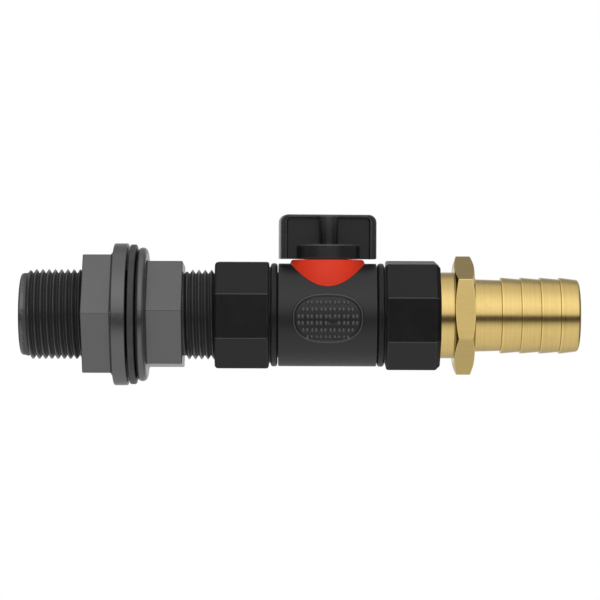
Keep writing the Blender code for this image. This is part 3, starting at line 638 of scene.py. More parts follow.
def shade(colour: tuple[float, float, float], by: float) -> tuple[float, float, float]:
    """The same colour made lighter or darker."""
    return tuple(min(c * by, 1.0) for c in colour)


@dataclass(frozen=True)
class MouldedPlastic:
    """Moulded plastic: faint clouds in its colour, a fine grain, scuffs, edges paler for wear and a painted highlight,
    and painted shade in creases and thread valleys.

    grain is the depth of the fine relief, and turned the strength of the fine lines round the rims. The edge and grip
    factors say how much paler the edges and the grip pad's raised parts are: wear, and a painted highlight. index is
    the refraction index.
    """

    name: str
    colour: tuple[float, float, float]
    roughness: float
    gloss: float = 0.5
    clouds: float = 0.16
    grain: float = 0.004 * MM
    wear_and_highlight: float = 1.6
    turned: float = 0.0
    scuffs: float = 0.5
    grip_wear_and_highlight: float = 1.0
    index: float = 1.5

    def material(self) -> bpy.types.Material:
        """Makes the material."""
        nodes = Nodes(self.name)
        place = nodes.place()
        cloud = nodes.noise(place, 130.0, 4.0, 0.6)
        fine = nodes.noise(place, 900.0, 3.0, 0.6)
        grain = nodes.noise(place, 5200.0, 2.0, 0.5)
        lines = nodes.noise(nodes.stretched((5200.0, 60.0, 60.0)), 1.0, 2.0, 0.5)
        scuff = nodes.noise(nodes.stretched((260.0, 2600.0, 5200.0), (0.6, 0.3, 0.8)), 1.0, 3.0, 0.55).rise(0.62, 0.74)
        scuff = scuff * nodes.noise(place, 70.0, 2.0).rise(0.45, 0.62) * self.scuffs
        dust = (1.0 - nodes.cells(place, 850.0).rise(0.05, 0.14)) * nodes.noise(place, 220.0, 2.0).rise(0.5, 0.66)
        edge = nodes.stored("edge") * (0.55 + 0.9 * fine)
        hollow = nodes.stored("hollow")
        deep = nodes.stored("depth").rise(0.08, 0.6)
        grip_wear_and_highlight = nodes.stored("depth").rise(0.0, -0.9)
        tone = cloud.rise(0.3, 0.7) * 0.65 + fine.rise(0.3, 0.7) * 0.35
        colour = nodes.mix(tone, shade(self.colour, 1.0 - self.clouds), shade(self.colour, 1.0 + self.clouds))
        colour = nodes.mix(scuff * 0.35 + dust * 0.25, colour, shade(self.colour, 2.0))
        # Edges paler: wear, and a painted highlight along the rims.
        colour = nodes.mix(edge.rise(0.1, 1.0) * 0.6, colour, shade(self.colour, self.wear_and_highlight))
        # Painted shade: creases darker.
        colour = nodes.mix(hollow * 0.5, colour, shade(self.colour, 0.6))
        # Grip pad's bumps and ridge paler: wear by hands, and a painted highlight.
        colour = nodes.mix(grip_wear_and_highlight * 0.8, colour, shade(self.colour, self.grip_wear_and_highlight))
        # Painted shade: thread valleys and flanks nearly black.
        colour = nodes.mix(deep * 0.95, colour, shade(self.colour, 0.06))
        if self.turned:
            colour = nodes.mix(lines.rise(0.5, 0.75) * self.turned, colour, shade(self.colour, 1.5))
        roughness = self.roughness + (cloud - 0.5) * 0.16 + (fine - 0.5) * 0.1 + scuff * 0.12 - edge * 0.05 + deep * 0.3
        height = grain * 0.7 + fine * 0.5 - scuff * 0.4 + lines * (self.turned * 2.2)
        return nodes.finish(colour, roughness, height, self.grain, 1.0, Specular_IOR_Level=self.gloss, IOR=self.index)


@dataclass(frozen=True)
class Rubber:
    """Matt rubber with a bloom of fine dust and a slightly uneven skin."""

    name: str
    colour: tuple[float, float, float]
    roughness: float = 0.62

    def material(self) -> bpy.types.Material:
        """Makes the material."""
        nodes = Nodes(self.name)
        place = nodes.place()
        bloom = nodes.noise(place, 160.0, 5.0, 0.65)
        speck = 1.0 - nodes.cells(place, 1500.0).rise(0.08, 0.2)
        skin = nodes.noise(place, 2600.0, 3.0)
        edge = nodes.stored("edge")
        colour = nodes.mix(bloom.rise(0.35, 0.7), shade(self.colour, 0.85), shade(self.colour, 1.25))
        colour = nodes.mix(speck * 0.3 + edge * 0.4, colour, shade(self.colour, 1.9))
        roughness = self.roughness + (bloom - 0.5) * 0.2
        return nodes.finish(colour, roughness, skin + speck * 0.5, 0.012 * MM, 1.0, Specular_IOR_Level=0.4)


@dataclass(frozen=True)
class Brass:
    """Machined brass: turned rings on round parts, drawn lines along the bar's flats, and thin tarnish.

    flats_from is the distance from the axis beyond which a surface is a flat of the drawn bar.
    """

    name: str
    colour: tuple[float, float, float]
    tarnish: tuple[float, float, float]
    roughness: float
    flats_from: float

    def material(self) -> bpy.types.Material:
        """Makes the material."""
        nodes = Nodes(self.name)
        place = nodes.place()
        x, y, z = nodes.parts()
        radius = (y * y + z * z) ** 0.5
        bar = radius.rise(self.flats_from, self.flats_from + 0.25 * MM)
        rings = nodes.noise(nodes.vector(x * 7000.0, radius * 7000.0, y * 60.0), 1.0, 3.0, 0.65)
        wide = nodes.noise(nodes.vector(x * 900.0, radius * 900.0, y * 30.0), 1.0, 2.0, 0.5)
        drawn = nodes.noise(nodes.stretched((70.0, 4200.0, 4200.0)), 1.0, 4.0, 0.65)
        band = nodes.noise(nodes.stretched((25.0, 700.0, 700.0), (0.0, 0.0, 0.0), (3.1, 1.7, 0.4)), 1.0, 2.0)
        stain = nodes.noise(place, 240.0, 5.0, 0.6)
        edge, hollow = nodes.stored("edge"), nodes.stored("hollow")
        lines = rings * (1.0 - bar) + drawn * bar
        slow = wide * (1.0 - bar) + band * bar
        colour = nodes.mix(lines.rise(0.3, 0.72), shade(self.colour, 0.9), shade(self.colour, 1.07))
        colour = nodes.mix(slow.rise(0.4, 0.75) * 0.3, colour, shade(self.colour, 0.84))
        colour = nodes.mix(stain.rise(0.52, 0.75) * 0.14 + hollow * 0.45, colour, self.tarnish)
        colour = nodes.mix(bar * 0.55, colour, shade(self.colour, 0.62))
        colour = nodes.mix(edge * 0.5, colour, shade(self.colour, 1.25))
        roughness = self.roughness + (lines - 0.5) * 0.16 + (stain - 0.5) * 0.12 + bar * 0.08
        height = lines + slow * 0.8
        return nodes.finish(colour, roughness, height, 0.0012 * MM, 1.0, Metallic=1.0)


@dataclass(frozen=True)
class TurnedSteel:
    """Stainless steel turned round the stem, with fine rings and smudges."""

    name: str
    colour: tuple[float, float, float]
    roughness: float = 0.28

    def material(self) -> bpy.types.Material:
        """Makes the material."""
        nodes = Nodes(self.name)
        rings = nodes.noise(nodes.stretched((50.0, 50.0, 7500.0)), 1.0, 3.0, 0.6)
        smudge = nodes.noise(nodes.place(), 300.0, 4.0)
        edge = nodes.stored("edge")
        colour = nodes.mix(rings.rise(0.3, 0.7), shade(self.colour, 0.82), shade(self.colour, 1.05))
        colour = nodes.mix(smudge.rise(0.5, 0.75) * 0.4, colour, shade(self.colour, 0.7))
        colour = nodes.mix(edge * 0.5, colour, shade(self.colour, 1.3))
        roughness = self.roughness + (rings - 0.5) * 0.2 + (smudge - 0.5) * 0.1
        return nodes.finish(colour, roughness, rings, 0.004 * MM, 1.0, Metallic=1.0)


@dataclass(frozen=True)
class PolishedPlastic:
    """Hard bearing plastic: nearly even, with fine rubbing marks round the stem and painted shade in its creases."""

    name: str
    colour: tuple[float, float, float]
    roughness: float

    def material(self) -> bpy.types.Material:
        """Makes the material."""
        nodes = Nodes(self.name)
        place = nodes.place()
        marks = nodes.noise(nodes.stretched((180.0, 180.0, 3800.0), (0.2, 0.5, 0.0)), 1.0, 3.0, 0.6)
        cloud = nodes.noise(place, 220.0, 3.0)
        colour = nodes.mix(cloud.rise(0.35, 0.7), shade(self.colour, 0.93), shade(self.colour, 1.04))
        # Rubbing marks, and painted shade in the creases, darker.
        colour = nodes.mix(marks.rise(0.6, 0.75) * 0.25 + nodes.stored("hollow") * 0.3, colour, shade(self.colour, 0.7))
        roughness = self.roughness + (marks - 0.5) * 0.2
        return nodes.finish(colour, roughness, marks, 0.003 * MM)


class Finishes:
    """Every finish of the seacock, each made once when it is first asked for."""

    plans: dict[str, object] = {
        # The edge and grip factors make edges and the grip pad's raised parts paler: wear, and a painted highlight.
        "grey_plastic": MouldedPlastic("grey_plastic", (0.040, 0.040, 0.041), 0.25, 0.8, wear_and_highlight=0.8, turned=0.25,
                                       scuffs=0.8, index=1.7),
        "black_plastic": MouldedPlastic("black_plastic", (0.0075, 0.0075, 0.008), 0.4, 0.5, wear_and_highlight=3.0, grip_wear_and_highlight=15.0),
        "black_plastic_ends": MouldedPlastic("black_plastic_ends", (0.0085, 0.0085, 0.009), 0.36, 0.26, wear_and_highlight=13.0),
        "handle_plastic": MouldedPlastic("handle_plastic", (0.016, 0.016, 0.0165), 0.28, 0.42, wear_and_highlight=9.0, scuffs=0.9),
        "red_plastic": MouldedPlastic("red_plastic", (0.95, 0.046, 0.012), 0.4, 0.22, clouds=0.05, wear_and_highlight=1.15, scuffs=0.15),
        "gasket_rubber": Rubber("gasket_rubber", (0.048, 0.048, 0.049), 0.42),
        "seal_rubber": Rubber("seal_rubber", (0.018, 0.018, 0.018)),
        "brass": Brass("brass", (0.74, 0.545, 0.205), (0.42, 0.27, 0.07), 0.17, 17.6 * MM),
        "steel": TurnedSteel("steel", (0.56, 0.56, 0.55)),
        "ball_plastic": PolishedPlastic("ball_plastic", (0.62, 0.62, 0.59), 0.22),
        "seat_plastic": PolishedPlastic("seat_plastic", (0.74, 0.74, 0.70), 0.45),
    }

    def __init__(self) -> None:
        """Starts with nothing made."""
        self.made: dict[str, bpy.types.Material] = {}

    def get(self, name: str) -> bpy.types.Material:
        """Gives the material of a finish."""
        if name not in self.made:
            self.made[name] = self.plans[name].material()
        return self.made[name]


@dataclass
class Assembly:
    """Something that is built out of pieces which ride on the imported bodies."""

    finishes: Finishes

    def piece(self, mesh: bpy.types.Mesh, slot: str, body: Body, *nodes: str, finish: str = "") -> bpy.types.Object:
        """Makes a piece of a mesh, dresses it and hangs it on its body.

        Args:
            mesh: The finished mesh, in its own place. The piece takes its name.
            slot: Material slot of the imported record.
            body: The body that the piece rides on.
            nodes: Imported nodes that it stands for.
            finish: Finish of its own, where the slot's finish doesn't suit it.

        Returns:
            The piece.
        """
        mark_edges(mesh)
        mesh.materials.clear()
        mesh.materials.append(self.finishes.get(finish or slot))
        made = bpy.data.objects.new(mesh.name, mesh)
        bpy.context.scene.collection.objects.link(made)
        even = made.modifiers.new("even_shading", "WEIGHTED_NORMAL")
        even.keep_sharp = True
        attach(made, body.value)
        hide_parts(*nodes)
        log.info("%s: %d faces on %s", made.name, len(mesh.polygons), body.value)
        return made


# --- Hull fitting, gasket and nut ----------------------------------------------------------------------

CREST = 16.62 * MM
ROOT = 15.15 * MM
FEMALE_CLEAR = 0.45 * MM
VALVE_X = float((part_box("ball")[0].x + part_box("ball")[1].x) / 2)


def male_thread(low: float, high: float) -> Thread:
    """A thread on the outside of a tube."""
    return Thread(low, high, CREST, ROOT, ROOT)


def female_thread(low: float, high: float) -> Thread:
    """A thread in a socket, wider than the male one by its clearance."""
    return Thread(low, high, CREST + FEMALE_CLEAR, ROOT + FEMALE_CLEAR, CREST + FEMALE_CLEAR)


@dataclass
class HullGroup(Assembly):
    """The threaded tube with its fixed flange and hexagon, and the gasket and nut outboard of them."""

    bore: float = 12.2 * MM
    lead: float = 1.8 * MM
    flange_r: float = 24.75 * MM
    flange_thick: float = 3.7 * MM
    flange_edge: float = 1.82 * MM
    hexagon: Flats = Flats(6, math.radians(175.5), 0.55 * MM)
    hexagon_half: float = 18.9 * MM
    hexagon_end: float = 16.9 * MM
    gasket_r: float = 25.85 * MM
    gasket_slack: float = 0.4 * MM
    nut: Flats = Flats(6, math.radians(178.7), 0.45 * MM)
    nut_half: float = 21.65 * MM
    nut_flange_r: float = 26.25 * MM
    nut_flange_thick: float = 5.6 * MM

    def build(self) -> None:
        """Builds the three pieces."""
        self.fitting()
        self.gasket()
        self.back_nut()

    def fitting(self) -> None:
        """Tube, flange and hexagon.

        Round rings run from the bore out over the end and the lead, then come the outboard thread, the
        flange with its rounded rim, rings with six flats joined to it by a fillet, and the inboard thread.
        """
        low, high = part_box("through_hull_fitting")
        left, right = low.x, high.x
        section, half = self.hexagon, self.hexagon_half
        rings = Rings(section.angles(half, 24))
        rim = self.flange_r
        lip = 2.0 * MM
        rings.round([(left + lip, self.bore), (left, self.bore, 0.4 * MM), (left, ROOT, 0.9 * MM), (left + self.lead, ROOT)])
        rings.thread(male_thread(left + self.lead, -0.3 * MM))
        edge, thick = self.flange_edge, self.flange_thick
        rings.round([(-0.3 * MM, ROOT), (0.0, ROOT), (0.0, rim, edge), (thick, rim, edge), (thick, half + 3.6 * MM)], 8)
        rings.flats(self.fillet(thick, half, 0.7 * MM), section)
        rings.flats(self.shoulder(self.hexagon_end, half, 0.45 * MM), section)
        rings.round([(self.hexagon_end, ROOT + 0.05 * MM), (self.hexagon_end + 0.02 * MM, ROOT)])
        rings.thread(male_thread(self.hexagon_end + 0.02 * MM, right - 0.6 * MM))
        rings.round([(right - 0.6 * MM, ROOT), (right, ROOT - 0.6 * MM), (right, self.bore, 0.4 * MM), (right - lip, self.bore)])
        mesh = rings.mesh("hull_fitting")
        self.piece(mesh, "grey_plastic", Body.VALVE_RUN, "through_hull_fitting")

    @staticmethod
    def fillet(start: float, half: float, size: float, steps: int = 5) -> Rows:
        """Rows of a hollow quarter circle where flats rise out of a face, the face end first."""
        turns = np.linspace(0.0, TURN / 4, steps + 1)
        return list(zip(start + size * (1 - np.cos(turns)), half + size * (1 - np.sin(turns)), strict=True))

    @staticmethod
    def shoulder(end: float, half: float, size: float, steps: int = 4) -> Rows:
        """Rows of a rounded edge where flats end, from the flats to the end face."""
        side = 1 if size > 0 else -1
        turns = np.linspace(0.0, TURN / 4, steps + 1)
        size = abs(size)
        along = end - side * size * (1 - np.sin(turns))
        rows = list(zip(along, half - size * (1 - np.cos(turns)), strict=True))
        return rows if side > 0 else rows[::-1]

    def gasket(self) -> None:
        """Flat rubber ring with softened edges, bored to clear the thread."""
        low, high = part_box("hull_gasket")
        inner, outer, edge, left = CREST + FEMALE_CLEAR, self.gasket_r, 0.6 * MM, low.x + self.gasket_slack
        rings = Rings(even_angles(192))
        corners = [(left, inner, 0.3 * MM), (left, outer, edge), (high.x, outer, edge), (high.x, inner, 0.3 * MM)]
        mesh = rings.round(corners, 5).mesh("gasket")
        self.piece(mesh, "gasket_rubber", Body.GASKET, "hull_gasket")

    def back_nut(self) -> None:
        """Nut with six flats on a wide round face, threaded through."""
        low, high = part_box("back_nut")
        section, half = self.nut, self.nut_half
        face = high.x - self.nut_flange_thick
        wide = CREST + FEMALE_CLEAR
        rings = Rings(section.angles(half, 24))
        rings.round([(low.x, wide + 0.5 * MM)])
        rings.flats(self.shoulder(low.x, half, -0.4 * MM), section)
        rings.flats([(x, h) for x, h in reversed(self.fillet_down(face, half, 0.45 * MM))], section)
        outer = self.nut_flange_r
        inlet, outlet = low.x + 0.4 * MM, high.x - 0.02 * MM
        rings.round([(face, outer, 0.5 * MM), (high.x, outer, 0.45 * MM), (high.x, wide), (outlet, wide)], 5)
        rings.thread(female_thread(inlet, outlet), backwards=True)
        rings.round([(inlet, wide)])
        mesh = rings.mesh("nut")
        self.piece(mesh, "grey_plastic", Body.NUT, "back_nut")

    @staticmethod
    def fillet_down(face: float, half: float, size: float, steps: int = 5) -> Rows:
        """Rows of a hollow quarter circle where flats meet a face ahead of them, the face end first."""
        turns = np.linspace(0.0, TURN / 4, steps + 1)
        return list(zip(face - size * (1 - np.cos(turns)), half + size * (1 - np.sin(turns)), strict=True))


# --- Valve body and its ends ---------------------------------------------------------------------------


@dataclass
class GripPad:
    """Relief on the side of the barrel: an oval ring round six rows of paired bumps.

    half is half the oval's width and height, and power how square it is. bump is a bump's half width, half
    height and rise.
    """

    middle: tuple[float, float] = (70.1 * MM, -1.1 * MM)
    half: tuple[float, float] = (13.0 * MM, 9.1 * MM)
    power: float = 2.4
    ridge: float = 1.0 * MM
    ridge_height: float = 0.42 * MM
    floor_depth: float = 0.2 * MM
    rows: tuple[tuple[float, int], ...] = ((4.75, 5), (2.16, 6), (-0.43, 7), (-2.84, 7), (-5.4, 6), (-7.9, 5))
    pitch: float = 3.3 * MM
    pair: float = 1.4 * MM
    bump: tuple[float, float, float] = (0.7 * MM, 0.8 * MM, 0.42 * MM)
    gate: tuple[float, float, float] = (71.9 * MM, -2.1 * MM, 1.35 * MM)

    def height(self, x: Array, z: Array) -> tuple[Array, Array]:
        """Works out how far the relief stands out of the barrel.

        The oval is where the sum of the two shares of its half width and half height, each to the power, is
        1. The ring is a rounded bar inside it, and the floor is lower. A bump is the square of 1 less the
        squared distance from its middle. The round mark left by the mould's gate is a shallow groove.

        Args:
            x: Place along the water way.
            z: Height.

        Returns:
            The height of the relief in metres, and how much of it is paler, for wear by hands and a painted highlight,
            from 0 to 1.
        """
        across, up = x - self.middle[0], z - self.middle[1]
        size = np.hypot(across, up) + 1e-9
        share = ((np.abs(across) / self.half[0]) ** self.power + (np.abs(up) / self.half[1]) ** self.power)
        off = size * (1.0 - (share + 1e-9) ** (-1.0 / self.power))
        crown = np.clip(1.0 - ((off + self.ridge / 2) / (self.ridge / 2)) ** 2, 0.0, None)
        inside = np.clip((-off - self.ridge * 0.85) / (0.3 * MM), 0.0, 1.0)
        places = np.array([
            (self.middle[0] + (i - (count - 1) / 2) * self.pitch + side * self.pair / 2, level * MM)
            for level, count in self.rows for i in range(count) for side in (-1, 1)
        ])
        wide, tall, rise = self.bump
        apart = np.hypot((x[..., None] - places[:, 0]) / wide, (z[..., None] - places[:, 1]) / tall).min(-1)
        gate = np.hypot(x - self.gate[0], z - self.gate[1])
        clear = np.clip((gate - self.gate[2]) / (0.2 * MM), 0.0, 1.0)
        bumps = np.clip(1.0 - apart**2, 0.0, None) ** 1.5 * clear
        groove = np.clip(1.0 - np.abs(gate - self.gate[2]) / (0.35 * MM), 0.0, None)
        made = self.ridge_height * crown**0.7 - self.floor_depth * inside + rise * bumps - 0.15 * MM * groove
        # The second share paints the bumps and the ridge's crown paler: wear by hands, and a painted highlight.
        return made, np.clip(bumps * 1.5 + crown**2 * 0.6, 0.0, 1.0)


@dataclass
class ValveGroup(Assembly):
    """The barrel with its neck, the red collar, the two threaded ends, and the seats and seals inside."""

    barrel_r: float = 19.0 * MM
    barrel_half: float = 18.1 * MM
    cavity_r: float = 15.6 * MM
    spigot_hole_r: float = 16.9 * MM
    seal_hole_r: float = 17.7 * MM
    seal_out: float = 16.3 * MM
    spigot_out: float = 13.504 * MM
    neck_r: float = 7.7 * MM
    neck_bore: float = 4.6 * MM
    neck_top: float = 23.95 * MM
    pocket: tuple[float, float] = (6.0 * MM, 18.24 * MM)
    lug_low: float = 20.95 * MM
    lug_reach: float = 1.6 * MM
    lug_width: float = math.radians(24.0)
    lug_turns: tuple[float, float] = (math.radians(-26.4), math.radians(122.4))
    half: float = 19.55 * MM
    inlet: Flats = Flats(8, math.radians(23.7), 0.5 * MM)
    outlet: Flats = Flats(8, math.radians(27.5), 0.5 * MM)
    ring_out: float = 18.4 * MM
    ring_length: float = 2.5 * MM
    ring_r: float = 19.1 * MM
    groove_r: float = 17.8 * MM
    flats_out: float = 21.5 * MM
    mouth_out: float = 41.4 * MM
    socket_out: float = 22.2 * MM
    washer: float = 2.4 * MM
    seat_bore: float = 10.2 * MM
    seat_back: float = 13.204 * MM
    seat_face_r: float = 15.3 * MM
    collar_top_r: float = 13.2 * MM
    collar_inner: float = 9.6 * MM
    collar_top: float = 20.35 * MM
    pad: GripPad = field(default_factory=GripPad)

    def build(self) -> None:
        """Builds every piece that is fixed to the barrel."""
        self.barrel()
        self.collar()
        for side, name, section in ((-1, "inlet", self.inlet), (1, "outlet", self.outlet)):
            self.end(side, name, section)
            self.seat(side, name)
            self.seals(side, name)

    def barrel(self) -> None:
        """Barrel with the grip pad in relief, the ball's cavity, and the neck and its two stop lugs.

        The outside is a cylinder whose distance from the axis grows by the pad's relief on the side towards
        -Y. Columns and rows are close together over the pad. The neck and the lugs are joined to it.
        """
        fine_x = VALVE_X + np.arange(-13.5 * MM, 13.7 * MM, 0.17 * MM)
        edge_x = VALVE_X + np.array([-15.5, -14.3, 14.5, 15.8]) * MM
        fine_turn = np.radians(np.arange(-35.0, 35.01, 0.5)) + math.pi
        far_turn = np.linspace(fine_turn[-1], fine_turn[0] + TURN, 82)[1:]
        angles = np.concatenate([fine_turn, far_turn])
        middle = np.sort(np.concatenate([fine_x, edge_x]))
        r, half, edge = self.barrel_r, self.barrel_half, 0.35 * MM
        turn = np.linspace(0.0, TURN / 4, 5)
        ease_x, ease_r = edge * (1 - np.sin(turn)), edge * (1 - np.cos(turn))
        rings = Rings(angles)
        rings.add((VALVE_X - half + ease_x[::-1])[:, None], (r - ease_r[::-1])[:, None])
        z = r * np.sin(angles)
        relief, wear_and_highlight = self.pad.height(*np.broadcast_arrays(middle[:, None], z[None, :]))
        front = (np.cos(angles) < 0)[None, :]
        # Negative depth carries the grip pad's paler share: wear, and a painted highlight.
        rings.add(middle[:, None], r + np.where(front, relief, 0.0), np.where(front, -wear_and_highlight, 0.0))
        rings.add((VALVE_X + half - ease_x)[:, None], (r - ease_r)[:, None])
        inner = [(half, self.seal_hole_r), (self.seal_out, self.seal_hole_r), (self.seal_out, self.spigot_hole_r),
                 (self.spigot_out - 0.3 * MM, self.spigot_hole_r), (self.spigot_out - 0.3 * MM, self.cavity_r)]
        inner = inner + [(-out, radius) for out, radius in reversed(inner)]
        rings.round([(VALVE_X + out, radius) for out, radius in inner])
        shell = rings.mesh("barrel")

        joins = [self.upright("neck", [(16.2, 0.0), (16.2, 7.7), (23.95, 7.7, 0.3), (23.95, 0.0)])]
        for i, middle_turn in enumerate(self.lug_turns):
            joins.append(self.lug(f"stop_{i}", middle_turn))
        bore = self.upright("stem_bore", [(10.0, 0.0), (10.0, 6.0), (18.24, 6.0), (18.24, 4.6), (25.0, 4.6), (25.0, 0.0)])
        mesh = combined(combined(shell, "UNION", joins), "DIFFERENCE", [bore])
        smoothed(mesh, "valve_barrel")
        self.piece(mesh, "black_plastic", Body.VALVE_RUN, "valve_body")

    def upright(self, name: str, points: Rows, columns: int = 96) -> bpy.types.Mesh:
        """A turned solid round the stem's axis, from rows in millimetres."""
        rings = Rings(even_angles(columns), Axis.STEM, (VALVE_X, 0.0))
        return rings.round([tuple(v * MM for v in p) for p in points]).mesh(name, False)

    def lug(self, name: str, middle: float) -> bpy.types.Mesh:
        """One stop on the neck: part of a ring with upright sides."""
        turns = middle + self.lug_width * np.linspace(-0.5, 0.5, 9)
        near, far = self.neck_r - 1.0 * MM, self.neck_r + self.lug_reach
        rim = np.stack([np.cos(turns), np.sin(turns)], -1)
        points = np.vstack([far * rim, near * rim[::-1]]) + np.array([VALVE_X, 0.0])
        points = np.vstack([points, points[:1]])
        grid = stacked([(self.lug_low, points), (self.neck_top - 0.3 * MM, points)], True)
        return grid_mesh(name, grid, False)

    def collar(self) -> None:
        """Red skirt round the neck.

        Its side widens downwards by 0.54 of the drop less a square term, and its foot lies on the barrel's
        own round, at the height of the square root of the barrel's radius squared less the place across
        squared. Where the two meet is found by repeated halving steps for all columns at once.
        """
        angles = even_angles(240)
        reach = self.barrel_r + 0.06 * MM
        top = self.collar_top

        def side(height: Array) -> Array:
            drop = top - height
            return self.collar_top_r + 0.54 * drop - 0.0275 / MM * drop**2

        foot = np.full(angles.shape, self.barrel_r)
        for _ in range(40):
            foot = (foot + np.sqrt(reach**2 - (side(foot) * np.sin(angles)) ** 2)) / 2
        rings = Rings(angles, Axis.STEM, (VALVE_X, 0.0))
        edge = 0.25 * MM
        turn = np.linspace(0.0, TURN / 4, 4)[:, None]
        rings.add(top, self.collar_inner)
        rings.add(top - edge * (1 - np.cos(turn)), self.collar_top_r - edge * (1 - np.sin(turn)))
        share = np.linspace(0.0, 1.0, 22)[:, None]
        start = top - edge
        height = start + (foot[None] - start) * share
        rings.add(height, side(height))
        share = np.linspace(1.0, 0.0, 8)[1:, None]
        radius = self.collar_inner + (side(foot)[None] - self.collar_inner) * share
        rings.add(np.sqrt(reach**2 - (radius * np.sin(angles)) ** 2), radius)
        mesh = rings.mesh("red_collar")
        self.piece(mesh, "red_plastic", Body.VALVE_RUN, "stem_collar")

    def end(self, side: int, name: str, section: Flats) -> None:
        """Threaded end with eight flats, the inlet's rim rounded and the outlet's cut at a slant.

        Rings are given by their distance out from the ball. Round ones make the spigot and the bead beside
        the barrel, then rings with flats run out to the mouth, and a thread runs back in to the socket.
        """
        def at(out: float) -> float:
            return VALVE_X + side * out

        rings = Rings(section.angles(self.half, 15))
        spigot_r, seal_r = 16.6 * MM, self.cavity_r + 0.12 * MM
        bead, ring_end = 0.95 * MM, self.ring_out + self.ring_length
        step = self.seal_out - 0.3 * MM
        rings.round([
            (at(self.spigot_out), spigot_r), (at(step), spigot_r), (at(step), seal_r),
            (at(self.ring_out), seal_r), (at(self.ring_out), self.ring_r, bead), (at(ring_end), self.ring_r, bead),
            (at(ring_end), self.groove_r), (at(self.flats_out), self.groove_r),
        ], 6)
        inner, half, mouth = self.flats_out, self.half, self.mouth_out
        turns = np.linspace(0.0, TURN / 4, 5)
        soft = 0.9 * MM
        near = zip(at(inner) + side * soft * (1 - np.cos(turns)), half - soft * (1 - np.sin(turns)), strict=True)
        rings.flats(list(near), section)
        rings.flats(self.rim(side, name, mouth, half), section)
        wide = CREST + FEMALE_CLEAR
        thread_out, thread_in = mouth - 0.3 * MM, self.socket_out + self.washer
        rings.round([(at(mouth), wide + 0.2 * MM), (at(thread_out), wide)])
        ends = sorted([at(thread_in), at(thread_out)])
        rings.thread(female_thread(*ends), backwards=side > 0)
        low, high = 11.88 * MM, 14.12 * MM
        pocket_out = self.spigot_out + 2.0 * MM
        rings.round([
            (at(thread_in), wide), (at(self.socket_out), wide), (at(self.socket_out), self.seat_bore, 0.3 * MM),
            (at(self.spigot_out), self.seat_bore), (at(self.spigot_out), low), (at(pocket_out), low),
            (at(pocket_out), high), (at(self.spigot_out), high),
        ])
        self.piece(rings.mesh(f"{name}_octagon"), "black_plastic", Body.VALVE_RUN, f"{name}_end",
                   finish="black_plastic_ends")

    @staticmethod
    def rim(side: int, name: str, mouth: float, half: float) -> Rows:
        """Rows of the outer edge of an end: a quarter circle at the inlet, an eased slant at the outlet."""
        def at(out: float) -> float:
            return VALVE_X + side * out

        if name == "inlet":
            turns, size = np.linspace(0.0, TURN / 4, 8), 1.35 * MM
            out, down = mouth - size * (1 - np.sin(turns)), half - size * (1 - np.cos(turns))
            return list(zip(at(0.0) + side * out, down, strict=True))
        cut = eased([(mouth - 6.0 * MM, half), (mouth - 1.7 * MM, half, 1.0 * MM),
                     (mouth, half - 1.5 * MM, 0.6 * MM), (mouth, half - 2.2 * MM)], 4)
        return [(at(out), down) for out, down in cut[1:-1]]

    def seat(self, side: int, name: str) -> None:
        """Bearing ring whose hollow face follows the ball."""
        outer, widest = self.cavity_r - 0.3 * MM, self.cavity_r - 2.0 * MM
        reach = np.linspace(self.seat_bore, widest, 12)
        face = np.sqrt(self.seat_face_r**2 - reach**2)
        rings = Rings(even_angles(144))
        rings.add((VALVE_X + side * face)[:, None], reach[:, None])
        rings.round([
            (VALVE_X + side * face[-1], outer), (VALVE_X + side * self.seat_back, outer, 0.25 * MM),
            (VALVE_X + side * self.seat_back, self.seat_bore),
        ])
        self.piece(rings.mesh(f"{name}_bearing"), "seat_plastic", Body.VALVE_RUN, f"{name}_seat")

    def seals(self, side: int, name: str) -> None:
        """The two O-rings and the flat washer of one end."""
        seat_x = VALVE_X + side * (self.spigot_out + 0.88 * MM)
        self.piece(oring(f"{name}_seat_seal", seat_x, 13.0 * MM, 1.0 * MM), "seal_rubber", Body.VALVE_RUN, f"{name}_seat_oring")
        low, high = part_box(f"{name}_end_oring")
        section = float(high.x - low.x) / 2
        middle_r = float(high.z - low.z) / 2 - section
        centre = float(low.x + high.x) / 2
        self.piece(oring(f"{name}_end_seal", centre, middle_r, section), "seal_rubber", Body.VALVE_RUN, f"{name}_end_oring")
        low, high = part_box(f"{name}_socket_washer")
        rings = Rings(even_angles(144))
        inner, edge = 12.5 * MM, 0.3 * MM
        rings.round([(low.x, inner, edge), (low.x, ROOT, edge), (high.x, ROOT, edge), (high.x, inner, edge)])
        self.piece(rings.mesh(f"{name}_washer"), "seal_rubber", Body.VALVE_RUN, f"{name}_socket_washer")


def oring(name: str, centre: float, radius: float, section: float, axis: Axis = Axis.WATER_WAY) -> bpy.types.Mesh:
    """Works out a ring whose section is a circle.

    Args:
        name: Name of the mesh.
        centre: Place of its middle along the axis.
        radius: Distance of the section's middle from the axis.
        section: Radius of the section.
        axis: The axis that it goes round.

    Returns:
        The mesh.
    """
    turns = np.linspace(0.0, TURN, 21)[:-1, None]
    foot = (0.0, 0.0) if axis is Axis.WATER_WAY else (VALVE_X, 0.0)
    rings = Rings(even_angles(128), axis, foot)
    rings.add(centre + section * np.cos(turns), radius + section * np.sin(turns))
    return rings.mesh(name)


# --- Ball, stem and handle -----------------------------------------------------------------------------


